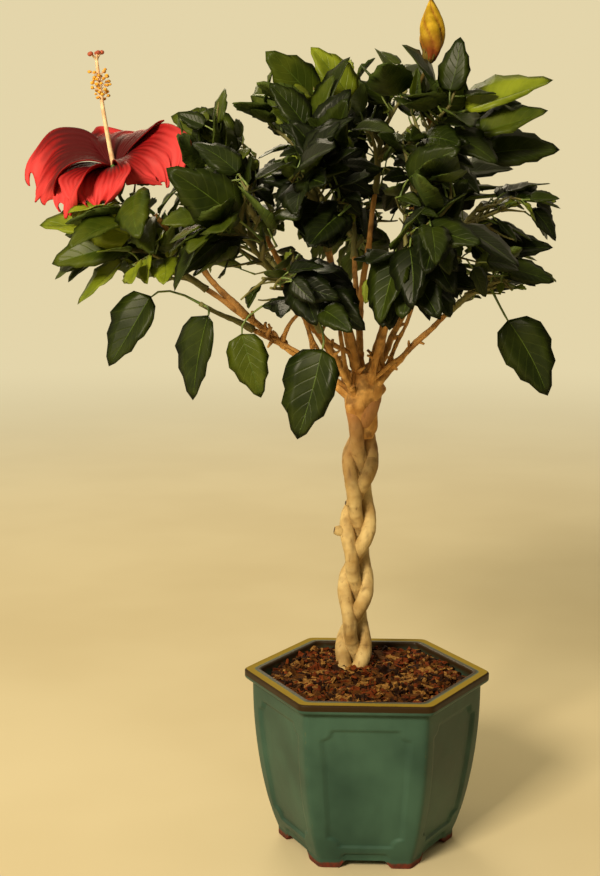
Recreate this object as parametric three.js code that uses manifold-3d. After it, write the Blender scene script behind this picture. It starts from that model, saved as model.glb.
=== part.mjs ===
// A hibiscus bonsai: three plaited stems under an open crown of leaves, in a six-sided glazed pot.
// Millimetres, +Z up. The origin is on the ground under the middle of the pot.
// The tree is meant to be seen from -Y, so its left is -X and its front is -Y.
import * as THREE from "three";
import { mergeVertices } from "three/addons/utils/BufferGeometryUtils.js";
import Module from "manifold-3d";

const wasm = await Module();
wasm.setup();

const UP = new THREE.Vector3(0, 0, 1);
const GOLDEN_TURN = Math.PI * (3 - Math.sqrt(5));
const CLEARANCE = 0.3; // between neighbouring solids
const SLIVER = 0.02; // edges this short, which joining leaves, are closed up

// The pot. Its radii are measured to the corners, so a side is as long as its radius.
const POT = {
  sides: 6,
  height: 126,
  rimRadius: 89,
  rimInner: 77,
  rimDepth: 7,
  rimBevel: 1.2,
  shoulderRadius: 83, // the wall just under the rim
  footRadius: 64.5,
  footHeight: 6,
  floor: 14,
  wall: 7,
  wallSteps: 3,
};
// How the wall bellies out between foot and shoulder: the two handles of its curve, as radius and height.
const POT_BELLY = [new THREE.Vector2(77, 34), new THREE.Vector2(83.5, 80)];
// The sunk panel on each side, with its corners cut away in quarter rounds.
const PANEL = { bottom: 17, top: 106, bottomWidth: 51, topWidth: 61, corner: 7, depth: 1, steps: 1 };
// The shallow arch under each side, which leaves a foot at each corner of the flat base.
const ARCH = { width: 36, height: 5.5, shoulder: 4, reach: 16, steps: 1 };

const SOIL = { edge: 118.5, skirt: 122.5, skirtRadius: 66, crest: 124.5, crestRadius: 36 };

// The plait of three stems, which leans from its foot towards its head.
const PLAIT = {
  foot: new THREE.Vector3(-10, 18, SOIL.crest),
  head: new THREE.Vector3(-4, 15, 328),
  pitch: 140, // height in which a stem crosses over and back
  swing: 8.2,
  depth: 7.4,
  pinch: 0.35, // share of the swing that the plait draws in by between its bulges
  quick: 1 / 3, // share of the pitch that the crossing from right to left takes
  firstBulge: 277, // height at which the first stem stands furthest right
  radius: 4.5,
  flare: 1.2, // root flare, as a multiple of the radius
  flareHeight: 14,
  top: 308, // the stems end inside the head at this height
  sides: 6,
  steps: 14,
};
const STUB = { height: 224, radius: 3.6, length: 5, taper: 0.8 }; // a healed cut on the first stem's left

// The head is the swollen top of the trunk, where the stems have grown together and the boughs spring.
const HEAD = {
  bottom: 297,
  top: 340,
  fork: 314, // the lowest bough springs from here
  lowRadius: 8.5,
  highRadius: 14,
  sides: 9,
  lumps: 4,
  lump: 5.5,
  sunk: 2,
};

// The boughs and what each bears. A bough leaves the head, or the bough it is said to come from, at a share
// of its height or length, rises or sags by its arch on the way, and swings right by its sway. It ends inside
// the ball that its leaves keep to, at a share of the ball's reach from the middle. Leaves droop by
// their hang.
const LIMB = { tipRadius: 1.7, sides: 5, steps: 3, bendShare: 0.45, entry: 0.5 };
const CROWN = [
  { name: "left_tip", at: 0.2, middle: [-146, -8, 425], reach: 86, girth: 3.4, arch: 4, hang: 0.3 },
  { name: "left_top", at: 0.6, middle: [-92, 8, 468], reach: 76, girth: 3.1, arch: -14, hang: 0.1 },
  { name: "top_left", at: 0.9, middle: [-42, 0, 490], reach: 78.6, girth: 3, arch: -6, hang: 0 },
  { name: "top_right", at: 0.85, middle: [38, -6, 496], reach: 81.5, girth: 3.2, arch: -10, hang: 0 },
  { name: "right_low", at: 0.35, middle: [70, -24, 404], reach: 58, girth: 2.6, arch: 4, hang: 0.6 },
  { name: "front_low", at: 0.15, middle: [-46, -58, 402], reach: 78, girth: 2.4, hang: 0.8 },
  { name: "front", at: 0.7, middle: [-36, -60, 462], reach: 79, girth: 2.6, arch: 4, hang: 0.4 },
  { name: "front_right", at: 0.5, middle: [28, -64, 430], reach: 80, girth: 2.6, arch: 2, hang: 0.5 },
  { name: "back_left", at: 0.4, middle: [-84, 78, 432], reach: 80, girth: 2.8, arch: 2, hang: 0.4 },
  { name: "back", at: 0.65, middle: [-14, 92, 452], reach: 80, girth: 2.8, arch: 2, hang: 0.3 },
  { name: "back_right", at: 0.4, middle: [52, 78, 428], reach: 80, girth: 2.8, arch: 4, hang: 0.4 },
  { name: "right", from: "top_right", at: 0.4, middle: [70, 2, 448], reach: 62, girth: 2.4, hang: 0.2 },
  { name: "back_top", from: "back", at: 0.5, middle: [8, 52, 500], reach: 72, girth: 2.4, hang: 0.1 },
  { name: "front_left", from: "left_top", at: 0.4, middle: [-80, -56, 436], reach: 78, girth: 2.5, hang: 0.3 },
  { name: "left_low", from: "left_tip", at: 0.5, middle: [-102, -36, 386], reach: 68, girth: 2.3, hang: 0.9 },
];
const BLOSSOM = [
  { name: "bloom", from: "left_tip", at: 0.75, middle: [-180, -14, 488], reach: 66, girth: 2.2, entry: 0.76 },
  { name: "bud", from: "top_right", at: 0.7, middle: [40, -4, 576], reach: 40, girth: 2, entry: 1.2, sway: 36 },
];

const TWIG = {
  stemRadius: 2,
  stemReach: 0.2, // how far past the middle the stem of a mass goes, as a share of the reach
  radius: 1.6,
  tip: 1.2,
  perMass: 5,
  length: 40,
  lengths: [0.7, 1.1],
  aim: { ahead: 0.7, outward: 0.3, up: 0.25 }, // pulls on a twig that sets out square to the stem
  seats: [0.13, 0.87], // where the first and the last twig leave the stem
  retryTurn: 0.7, // in radians about the stem
  luckTurn: 0.8,
  clear: 2, // from any limb
  probes: 8, // points along a twig that have to be free
  sides: 3,
  steps: 2,
};
const LEAF = {
  length: [46, 66],
  breadth: 0.62, // width as a share of the length
  outline: [
    [0.27, 1],
    [0.64, 0.72],
  ], // where the outline turns, as shares of the length and of the half width
  stalk: [0.24, 0.4], // stalk as a share of the length
  curl: [0.04, 0.22], // fall of the tip as a share of the length
  thick: 0.9,
  stalkRadius: 0.7,
  rootRadius: 0.4,
  stalkAim: { ahead: 0.4, outward: 0.2 }, // pulls on a stalk that sets out square to its twig
  bladeAim: { outward: 0.25, up: [-0.45, 0.35] }, // further pulls on the blade
  faceAim: { up: 0.7, outward: 0.5, light: 0.6, luck: 0.5 }, // what the upper face turns to
  loneFaceAim: { up: 0.7, outward: 0.2, light: 1, luck: 0.3 },
  clearLimb: 1.5,
  clearTwig: 0.5,
  loneSeats: [0.35, 0.5, 0.65, 0.8, 0.95], // where along a stick a lone leaf can root
  seats: [0.98, 0.2], // where along a stick its leaves root, from the first one on
  luckTurn: [-0.6, 0.6], // in radians about the stick
  retryTurn: 0.9,
  perTwig: 5,
  onStem: 2, // leaves on the stem of a mass, which has bare wood further in
  tries: 16,
  shrink: 0.04, // each further try is this much smaller
};
// The crown is open below a dish that rises outwards from the trunk, less to the front and back than to the
// sides, and then runs level. Only lone leaves hang below it.
const SKIRT = { trunk: 366, slope: 0.33, level: 404, depthShare: 0.3 };
// The eye that the tree is meant for, and the gaps that it sees right through the crown, each by where its line
// of sight meets the plane of X and Z, and its radius.
const EYE = new THREE.Vector3(0, -1033, 469);
const GAPS = [
  { x: 15, z: 443, radius: 9 },
  { x: -80, z: 420, radius: 10 },
  { x: -58, z: 432, radius: 6 },
  { x: -30, z: 463, radius: 5 },
  { x: 3, z: 495, radius: 6 },
  { x: 20, z: 513, radius: 6 },
  { x: 37, z: 511, radius: 6 },
  { x: 71, z: 451, radius: 6 },
  { x: 66, z: 420, radius: 4 },
  { x: -62, z: 501, radius: 4 },
  { x: -144, z: 469, radius: 6 },
  { x: 101, z: 448, radius: 7 },
  { x: -120, z: 531, radius: 6 },
  { x: -87, z: 542, radius: 8 },
  { x: -62, z: 401, radius: 5 },
];
const GAP_DEPTH = 160; // how far a gap runs to the front and to the back
const BEAD_SPACING = 4; // between the points that stand for a limb or a gap
// The side that the tree is lit from, which its leaves turn their faces to.
const LIGHT = new THREE.Vector3(-0.3, -0.9, 0.3);
// Leaves on long stalks that stand clear of the crown, by the end of the stalk and the tip of the blade.
const LONE_LEAVES = [
  { mass: "left_tip", base: [-167, -12, 446], tip: [-226, -14, 445] },
  { mass: "left_tip", base: [-163, -24, 432], tip: [-216, -26, 419] },
  { mass: "left_tip", base: [-168, -20, 420], tip: [-200, -24, 391] },
  { mass: "left_low", base: [-147, -34, 397], tip: [-177, -38, 350] },
  { mass: "left_low", base: [-106, -56, 386], tip: [-118, -60, 330] },
  { mass: "front_low", base: [-84, -58, 374], tip: [-71, -62, 332] },
  { mass: "front_low", base: [-30, -75, 366], tip: [-47, -82, 308] },
  { mass: "left_top", base: [-95, 22, 503], tip: [-140, 28, 519] },
  { mass: "top_left", base: [-14, -5, 528], tip: [-40, -8, 562] },
  { mass: "top_right", base: [63, -10, 520], tip: [120, -14, 541] },
  { mass: "top_right", base: [72, -22, 505], tip: [116, -26, 520] },
  { mass: "top_right", base: [78, -5, 491], tip: [127, -8, 495] },
  { mass: "right", base: [86, 8, 426], tip: [126, 6, 429] },
  { mass: "right_low", base: [92, -38, 382], tip: [120, -42, 332] },
];

// The red bloom, whose petals spread and roll back round a long column of anthers.
const BLOOM = {
  foot: new THREE.Vector3(-171, -12, 466),
  axis: new THREE.Vector3(-0.14, -0.06, 1).normalize(),
  petalWidth: 56,
  petalThick: 1,
  petalCup: 0.2, // lift of a petal's edges as a share of its half width
  petalRise: 15, // height of the petals' roots above the foot
  petalShape: { root: 0.1, arc: 0.86 * Math.PI, fullness: 1.4 }, // its half width is the sine along this arc
  columnLength: 88,
  columnRadius: 1.8,
  anthers: 5,
  anther: 2.4,
  antherSpan: [0.76, 0.95], // where the anthers sit, as shares of the column
  stigmas: 5,
  stigma: 1.7,
  fork: 4.3, // how far the stigmas fork out from the column, and up
  cupRadius: 6,
  cupHeight: 17,
  stalkRadius: 1.3,
};
// Each petal's turn about the axis from the back towards the left, where it points at its root and at its
// tip, in degrees off the axis, then its length, how far its tip droops, and the degrees it rolls about its
// midline.
const PETALS = [
  { turn: 72, start: 40, end: 150, length: 72, droop: 6, roll: 66 },
  { turn: 112, start: 58, end: 172, length: 48, droop: 6, roll: 10 },
  { turn: 158, start: 66, end: 172, length: 40, droop: 4, roll: 0 },
  { turn: 246, start: 32, end: 168, length: 47, droop: 6, roll: -56 },
  { turn: 335, start: 16, end: 110, length: 52, droop: 2, roll: 0 },
];
const BUD = {
  foot: new THREE.Vector3(39, -4, 553),
  tip: new THREE.Vector3(41, -4, 598),
  radius: 8,
  tipRadius: 0.4,
  shape: { root: 0.12, arc: 0.86, fullness: 0.8 }, // its radius is the sine along this part of a half turn
  sides: 6,
  steps: 5,
};

const materials = {
  glaze: { color: 0x4f6f5c, roughness: 0.35, metalness: 0 },
  bark_chips: { color: 0x5a3420, roughness: 0.95, metalness: 0 },
  bark: { color: 0xb89a63, roughness: 0.8, metalness: 0 },
  leaf: { color: 0x28481f, roughness: 0.4, metalness: 0 },
  petal: { color: 0xb02034, roughness: 0.6, metalness: 0 },
  bud: { color: 0xc8962e, roughness: 0.6, metalness: 0 },
};

// A closed geometry of any class as a solid, without the faces that collapse at an axis.
function solidFrom(geometry) {
  const bare = new THREE.BufferGeometry().setAttribute("position", geometry.attributes.position);
  bare.setIndex(geometry.index);
  const merged = mergeVertices(bare, 1e-4);
  const corners = merged.index.array;
  const kept = [];
  for (let i = 0; i < corners.length; i += 3) {
    const [a, b, c] = corners.slice(i, i + 3);
    if (a !== b && b !== c && c !== a) kept.push(a, b, c);
  }
  const vertProperties = merged.attributes.position.array;
  return new wasm.Manifold(new wasm.Mesh({ numProp: 3, vertProperties, triVerts: new Uint32Array(kept) }));
}

// The largest body of a solid, with every hollow inside it filled.
function mainBody(solid) {
  const body = solid.decompose().reduce((a, b) => (b.volume() > a.volume() ? b : a));
  return body.simplify(SLIVER);
}

function join(solids) {
  return wasm.Manifold.union(solids);
}

function meshFrom(name, solid, material) {
  const { vertProperties, triVerts } = solid.getMesh();
  const geometry = new THREE.BufferGeometry();
  geometry.setAttribute("position", new THREE.BufferAttribute(vertProperties, 3));
  geometry.setIndex(new THREE.BufferAttribute(triVerts, 1));
  geometry.computeVertexNormals();
  const mesh = new THREE.Mesh(geometry, new THREE.MeshStandardMaterial(materials[material]));
  mesh.name = name;
  return mesh;
}

// A round rod bent along a curve, with its radius given along its length from 0 to 1.
function sweep(curve, radiusAt, sides, steps) {
  const rod = new THREE.CylinderGeometry(1, 1, 1, sides, steps);
  const frames = curve.computeFrenetFrames(steps, false);
  const place = rod.attributes.position;
  for (let i = 0; i < place.count; i++) {
    const step = Math.round((0.5 + place.getY(i)) * steps);
    const radius = radiusAt(step / steps);
    const point = curve.getPointAt(step / steps);
    point.addScaledVector(frames.normals[step], radius * place.getX(i));
    point.addScaledVector(frames.binormals[step], -radius * place.getZ(i));
    place.setXYZ(i, point.x, point.y, point.z);
  }
  return solidFrom(rod);
}

function straight(from, to) {
  return new THREE.LineCurve3(from, to);
}

function tapered(start, end) {
  return (share) => start + (end - start) * share;
}

function upTo(count) {
  return [...Array(count).keys()];
}

// A number from 0 to 1 that depends on its keys alone.
function chance(...keys) {
  let mix = 2166136261;
  for (const key of keys) {
    mix = Math.imul(mix ^ key, 16777619);
    mix = Math.imul(mix ^ (mix >>> 13), 1540483477);
    mix ^= mix >>> 15;
  }
  return (mix >>> 0) / 4294967296;
}

function between([low, high], share) {
  return low + (high - low) * share;
}

// A unit vector square to an axis, turned about the axis by an angle.
function spoke(axis, turn) {
  const aside = Math.abs(axis.z) > 0.9 ? new THREE.Vector3(1, 0, 0) : UP;
  return new THREE.Vector3().crossVectors(axis, aside).normalize().applyAxisAngle(axis, turn);
}

// A solid with the number of sides of the pot, from a profile that begins and ends on the axis.
function sixSided(profile) {
  const turned = new THREE.LatheGeometry(profile, POT.sides, Math.PI / POT.sides);
  return solidFrom(turned.rotateX(Math.PI / 2));
}

// The pot's outer wall from foot to shoulder, moved inwards by an offset.
function wallProfile(offset) {
  const foot = new THREE.Vector2(POT.footRadius, POT.footHeight);
  const shoulder = new THREE.Vector2(POT.shoulderRadius, POT.height - POT.rimDepth);
  const wall = new THREE.CubicBezierCurve(foot, ...POT_BELLY, shoulder).getPoints(POT.wallSteps);
  return wall.map((point) => new THREE.Vector2(point.x - offset, point.y));
}

// The part of a wall profile between two heights, ending on both.
function wallBetween(offset, low, high) {
  const wall = wallProfile(offset);
  const radiusAt = (height) => {
    const next = wall.findIndex((point) => point.y >= height);
    const [a, b] = [wall[Math.max(next - 1, 0)], wall[next]];
    return THREE.MathUtils.mapLinear(height, a.y, b.y, a.x, b.x);
  };
  const inner = wall.filter((point) => point.y > low + 1 && point.y < high - 1);
  return [new THREE.Vector2(radiusAt(low), low), ...inner, new THREE.Vector2(radiusAt(high), high)];
}

function onAxis(height) {
  return new THREE.Vector2(0, height);
}

// One side's panel as a prism that stands through the wall of the front side.
function panelPrism() {
  const { bottom, top, bottomWidth, topWidth, corner, steps } = PANEL;
  const outline = new THREE.Shape();
  outline.moveTo(corner - bottomWidth / 2, bottom);
  outline.lineTo(bottomWidth / 2 - corner, bottom);
  outline.absarc(bottomWidth / 2, bottom, corner, Math.PI, Math.PI / 2, true);
  outline.absarc(topWidth / 2, top, corner, -Math.PI / 2, -Math.PI, true);
  outline.absarc(-topWidth / 2, top, corner, 0, -Math.PI / 2, true);
  outline.absarc(-bottomWidth / 2, bottom, corner, Math.PI / 2, 0, true);
  const prism = { depth: POT.rimRadius, curveSegments: steps, bevelEnabled: false };
  return new THREE.ExtrudeGeometry(outline, prism).rotateX(Math.PI / 2);
}

// The arch under the front side, between two feet.
function archPrism() {
  const { width, height, shoulder, reach, steps } = ARCH;
  const outline = new THREE.Shape();
  outline.moveTo(-width / 2, -1);
  outline.lineTo(width / 2, -1);
  outline.quadraticCurveTo(width / 2, height, width / 2 - shoulder, height);
  outline.lineTo(shoulder - width / 2, height);
  outline.quadraticCurveTo(-width / 2, height, -width / 2, -1);
  const prism = { depth: reach, curveSegments: steps, bevelEnabled: false };
  const arch = new THREE.ExtrudeGeometry(outline, prism).rotateX(Math.PI / 2);
  return arch.translate(0, reach - POT.footRadius, 0);
}

function onEverySide(geometry) {
  const turn = (2 * Math.PI) / POT.sides;
  return join(upTo(POT.sides).map((k) => solidFrom(geometry.clone().rotateZ(k * turn))));
}

function pot() {
  const { height, rimRadius, rimInner, rimDepth, rimBevel, footRadius, floor, wall } = POT;
  const underRim = height - rimDepth;
  const rim = [
    new THREE.Vector2(rimRadius - rimBevel, underRim),
    new THREE.Vector2(rimRadius, underRim + rimBevel),
    new THREE.Vector2(rimRadius, height - rimBevel),
    new THREE.Vector2(rimRadius - rimBevel, height),
    new THREE.Vector2(rimInner, height),
  ];
  const inside = wallBetween(wall, floor, underRim).reverse();
  const foot = new THREE.Vector2(footRadius, 0);
  const body = sixSided([onAxis(0), foot, ...wallProfile(0), ...rim, ...inside, onAxis(floor)]);
  const sunk = PANEL.depth / Math.cos(Math.PI / POT.sides);
  const skin = (offset) => sixSided([onAxis(POT.footHeight), ...wallProfile(offset), onAxis(underRim)]);
  const panels = onEverySide(panelPrism()).intersect(skin(-1).subtract(skin(sunk)));
  return mainBody(body.subtract(panels).subtract(onEverySide(archPrism())));
}

function soil() {
  const bottom = POT.floor + CLEARANCE;
  const side = wallBetween(POT.wall + CLEARANCE * 1.5, bottom, SOIL.edge);
  const skirt = new THREE.Vector2(SOIL.skirtRadius, SOIL.skirt);
  const crest = new THREE.Vector2(SOIL.crestRadius, SOIL.crest);
  return mainBody(sixSided([onAxis(bottom), ...side, skirt, crest, onAxis(SOIL.crest)]));
}

// A stem of the plait. It swings out to the right and to the left in turn, and as it goes down
// it passes in front on the way in and behind on the way out.
class PlaitedStem extends THREE.Curve {
  constructor(order) {
    super();
    this.bulge = PLAIT.firstBulge - (order * PLAIT.pitch) / 3;
  }

  getPoint(share, target = new THREE.Vector3()) {
    const { quick, swing, depth, pitch } = PLAIT;
    const point = target.lerpVectors(PLAIT.foot, PLAIT.head, share);
    const fall = (this.bulge - point.z) / pitch;
    const turn = fall - Math.floor(fall);
    const phase = turn < quick ? turn / quick : 1 + (turn - quick) / (1 - quick);
    const waist = Math.sin((Math.PI * 3 * (PLAIT.firstBulge - point.z)) / pitch) ** 2;
    point.x += swing * (1 - PLAIT.pinch * waist) * Math.cos(Math.PI * phase);
    point.y -= depth * Math.sin(2 * Math.PI * phase);
    return point;
  }
}

// The stub of a pruned shoot, which stands out to the left of a stem.
function healedCut(curve) {
  const share = (STUB.height - PLAIT.foot.z) / (PLAIT.head.z - PLAIT.foot.z);
  const root = curve.getPoint(share);
  const end = root.clone().add(new THREE.Vector3(-PLAIT.radius - STUB.length, -1, 1.5));
  return sweep(straight(root, end), tapered(STUB.radius, STUB.radius * STUB.taper), PLAIT.sides, 1);
}

// One stem with its root flare, or the same grown on every side.
function stem(order, grown = 0) {
  const curve = new PlaitedStem(order);
  const height = PLAIT.head.z - PLAIT.foot.z;
  const radiusAt = (share) => {
    const rise = Math.min((share * height) / PLAIT.flareHeight, 1);
    return PLAIT.radius * (1 + (PLAIT.flare - 1) * (1 - rise) ** 2) + grown;
  };
  const bole = sweep(curve, radiusAt, PLAIT.sides, PLAIT.steps);
  return order === 0 ? bole.add(healedCut(curve)) : bole;
}

// The head, or the same grown on every side.
function head(grown = 0) {
  const foot = PLAIT.head.clone().setZ(HEAD.bottom - grown);
  const top = PLAIT.head.clone().setZ(HEAD.top + grown);
  const radiusAt = tapered(HEAD.lowRadius + grown, HEAD.highRadius + grown);
  const lumps = upTo(HEAD.lumps).map((k) => {
    const share = (k + 0.5) / HEAD.lumps;
    const out = tapered(HEAD.lowRadius, HEAD.highRadius)(share) - HEAD.sunk;
    const place = foot.clone().lerp(top, between([0.2, 0.95], share));
    place.addScaledVector(spoke(UP, k * GOLDEN_TURN), out);
    return solidFrom(new THREE.OctahedronGeometry(HEAD.lump + grown, 1).translate(...place));
  });
  return join([sweep(straight(foot, top), radiusAt, HEAD.sides, 1), ...lumps]);
}

// The path of a bough from what bears it to its tip inside its ball.
function limbPath(row, paths) {
  const middle = new THREE.Vector3(...row.middle);
  const start = new THREE.Vector3();
  if (row.from) {
    start.copy(paths.get(row.from).getPointAt(row.at));
  } else {
    start.copy(PLAIT.head).setZ(between([HEAD.fork, HEAD.top], row.at));
    const outward = middle.clone().sub(start).setZ(0).normalize();
    start.addScaledVector(outward, HEAD.lowRadius / 2);
  }
  const end = start.clone().sub(middle);
  end.setLength(row.reach * (row.entry ?? LIMB.entry)).add(middle);
  const bend = start.clone().lerp(end, LIMB.bendShare).addScaledVector(UP, row.arch ?? 0);
  bend.x += row.sway ?? 0;
  return new THREE.QuadraticBezierCurve3(start, bend, end);
}

function limb(row, path, grown = 0) {
  return sweep(path, tapered(row.girth + grown, LIMB.tipRadius + grown), LIMB.sides, LIMB.steps);
}

// Points along a limb with its radius there, for keeping leaves and twigs off it.
function beads(curve, radiusAt) {
  const count = Math.ceil(curve.getLength() / BEAD_SPACING);
  return upTo(count + 1).map((k) => ({ point: curve.getPointAt(k / count), radius: radiusAt(k / count) }));
}

// The space of a mass: a ball, and where it meets another ball, its own side of the plane they share.
class Space {
  constructor(row, others) {
    this.middle = new THREE.Vector3(...row.middle);
    this.reach = row.reach;
    this.planes = others.map((other) => {
      const far = new THREE.Vector3(...other.middle);
      const gap = far.distanceTo(this.middle);
      const share = 0.5 + (row.reach ** 2 - other.reach ** 2) / (2 * gap * gap);
      const inward = this.middle.clone().sub(far).normalize();
      const onPlane = this.middle.clone().lerp(far, share).addScaledVector(inward, 2 * CLEARANCE);
      return new THREE.Plane().setFromNormalAndCoplanarPoint(inward, onPlane);
    });
  }

  owns(point) {
    return this.planes.every((plane) => plane.distanceToPoint(point) > 0);
  }

  holds(point) {
    return point.distanceTo(this.middle) <= this.reach && this.owns(point);
  }
}

function isAboveSkirt(point) {
  const away = Math.hypot(point.x - PLAIT.head.x, SKIRT.depthShare * (point.y - PLAIT.head.y));
  return point.z > Math.min(SKIRT.trunk + SKIRT.slope * away, SKIRT.level);
}

// The line of sight through a gap, as far as the crown goes.
function sightLine({ x, z }) {
  const middle = new THREE.Vector3(x, 0, z);
  const ahead = middle.clone().sub(EYE).setLength(GAP_DEPTH);
  return straight(middle.clone().sub(ahead), middle.clone().add(ahead));
}

// The sticks of a mass: the stem that carries on from the bough's tip, then the twigs that leave it in turn.
function growSticks(row, order, path, space, limbBeads) {
  const ahead = path.getTangentAt(1);
  const outward = space.middle.clone().sub(PLAIT.head).normalize();
  const start = path.getPointAt(1).addScaledVector(ahead, CLEARANCE);
  const end = space.middle.clone().addScaledVector(outward, row.reach * TWIG.stemReach);
  const bend = start.clone().addScaledVector(ahead, start.distanceTo(end) * 0.5);
  const stem = new THREE.QuadraticBezierCurve3(start, bend, end);
  const isFree = (point) =>
    space.holds(point) &&
    isAboveSkirt(point) &&
    limbBeads.every((bead) => bead.point.distanceTo(point) > bead.radius + TWIG.radius + TWIG.clear);
  const twigs = [];
  for (const k of upTo(TWIG.perMass)) {
    const share = between(TWIG.seats, k / (TWIG.perMass - 1));
    const root = stem.getPointAt(share);
    const along = stem.getTangentAt(share);
    for (const attempt of upTo(LEAF.tries)) {
      const turn = k * GOLDEN_TURN + attempt * TWIG.retryTurn + chance(order, k, attempt) * TWIG.luckTurn;
      const aim = spoke(along, turn).addScaledVector(along, TWIG.aim.ahead);
      aim.addScaledVector(outward, TWIG.aim.outward).addScaledVector(UP, TWIG.aim.up).normalize();
      const draw = chance(order, k, attempt, 1);
      const length = TWIG.length * between(TWIG.lengths, draw) * (1 - LEAF.shrink * attempt);
      const twig = straight(root, root.clone().addScaledVector(aim, length));
      if (upTo(TWIG.probes).every((j) => isFree(twig.getPoint((j + 1) / TWIG.probes)))) {
        twigs.push(twig);
        break;
      }
    }
  }
  return [stem, ...twigs];
}

// A leaf as its root, the end of its stalk, and its blade's directions: along, across, and out of the face.
function layLeaf(hang, stick, share, turn, key, attempt) {
  const draw = (what) => chance(key, attempt, what);
  const root = stick.getPointAt(share);
  const ahead = stick.getTangentAt(share);
  const outward = root.clone().sub(PLAIT.head).setZ(0).normalize();
  const stalkAim = spoke(ahead, turn + between(LEAF.luckTurn, draw(0)));
  stalkAim.addScaledVector(ahead, LEAF.stalkAim.ahead);
  stalkAim.addScaledVector(outward, LEAF.stalkAim.outward).normalize();
  const along = stalkAim.clone().addScaledVector(outward, LEAF.bladeAim.outward);
  along.addScaledVector(UP, between(LEAF.bladeAim.up, draw(1)) - hang).normalize();
  const length = between(LEAF.length, draw(2)) * (1 - LEAF.shrink * attempt);
  const base = root.clone().addScaledVector(stalkAim, length * between(LEAF.stalk, draw(3)));
  return turnLeaf({ root, base, along, length, curl: between(LEAF.curl, draw(4)) }, draw(5), LEAF.faceAim);
}

// A lone leaf, on a stalk from the nearest stick of its mass.
function layLoneLeaf(row, sticks, key) {
  const base = new THREE.Vector3(...row.base);
  const along = new THREE.Vector3(...row.tip).sub(base);
  const length = along.length();
  const seats = sticks.flatMap((stick) => LEAF.loneSeats.map((share) => stick.getPointAt(share)));
  const root = seats.reduce((a, b) => (b.distanceTo(base) < a.distanceTo(base) ? b : a));
  const leaf = { root, base, along: along.normalize(), length, curl: LEAF.curl[0] };
  return turnLeaf(leaf, chance(key), LEAF.loneFaceAim);
}

// Turns a leaf's face up, outwards and to the light, with some of it left to chance.
function turnLeaf(leaf, luck, pull) {
  const outward = leaf.base.clone().sub(PLAIT.head).setZ(0).normalize();
  const face = UP.clone().multiplyScalar(pull.up).addScaledVector(outward, pull.outward);
  face.addScaledVector(LIGHT, pull.light).addScaledVector(spoke(leaf.along, luck * 2 * Math.PI), pull.luck);
  face.addScaledVector(leaf.along, -face.dot(leaf.along)).normalize();
  const across = new THREE.Vector3().crossVectors(face, leaf.along);
  return { ...leaf, face, across };
}

// The middle of the blade at a share of its length: it curls down towards the tip.
function bladeMiddle(leaf, share) {
  const point = leaf.base.clone().addScaledVector(leaf.along, leaf.length * share);
  return point.addScaledVector(leaf.face, -leaf.curl * leaf.length * share * share);
}

// The blade's edge points on its left and right, from base to tip.
function bladeEdge(leaf) {
  const half = (leaf.length * LEAF.breadth) / 2;
  const beside = (side) => ([share, width]) =>
    bladeMiddle(leaf, share).addScaledVector(leaf.across, side * half * width);
  const [left, right] = [1, -1].map((side) => LEAF.outline.map(beside(side)));
  return { left, right, tip: bladeMiddle(leaf, 1) };
}

// What a leaf takes up: its blade as flat triangles, the edges round them, and its stalk as one more edge.
function bladeFaces(leaf) {
  const { left, right, tip } = bladeEdge(leaf);
  const { root, base } = leaf;
  const line = [root, base, left[0], left[1], tip, right[1], right[0], base];
  const corners = [
    [base, left[0], right[0]],
    [left[0], left[1], right[0]],
    [right[0], left[1], right[1]],
    [left[1], tip, right[1]],
  ];
  return {
    corners: line.slice(1, -1),
    triangles: corners.map((points) => new THREE.Triangle(...points)),
    edges: line.slice(1).map((point, k) => [line[k], point]),
    ball: new THREE.Sphere(root.clone().lerp(tip, 0.5), root.distanceTo(tip) * 0.6),
  };
}

function crosses([from, to], triangle) {
  const ray = new THREE.Ray(from, to.clone().sub(from).normalize());
  const hit = ray.intersectTriangle(triangle.a, triangle.b, triangle.c, false, new THREE.Vector3());
  return hit !== null && hit.distanceTo(from) < to.distanceTo(from);
}

function collide(one, other) {
  if (!one.ball.intersectsSphere(other.ball)) return false;
  const through = (edges, triangles) => edges.some((edge) => triangles.some((face) => crosses(edge, face)));
  return through(one.edges, other.triangles) || through(other.edges, one.triangles);
}

function touches(faces, bead, margin) {
  const reach = bead.radius + margin;
  if (faces.ball.distanceToPoint(bead.point) > reach) return false;
  const near = new THREE.Vector3();
  return faces.triangles.some((face) => {
    face.closestPointToPoint(bead.point, near);
    return near.distanceTo(bead.point) < reach;
  });
}

function stalkTouches(leaf, bead, margin) {
  const stalk = new THREE.Line3(leaf.root, leaf.base);
  const near = stalk.closestPointToPoint(bead.point, true, new THREE.Vector3());
  return near.distanceTo(bead.point) < bead.radius + margin;
}

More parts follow.
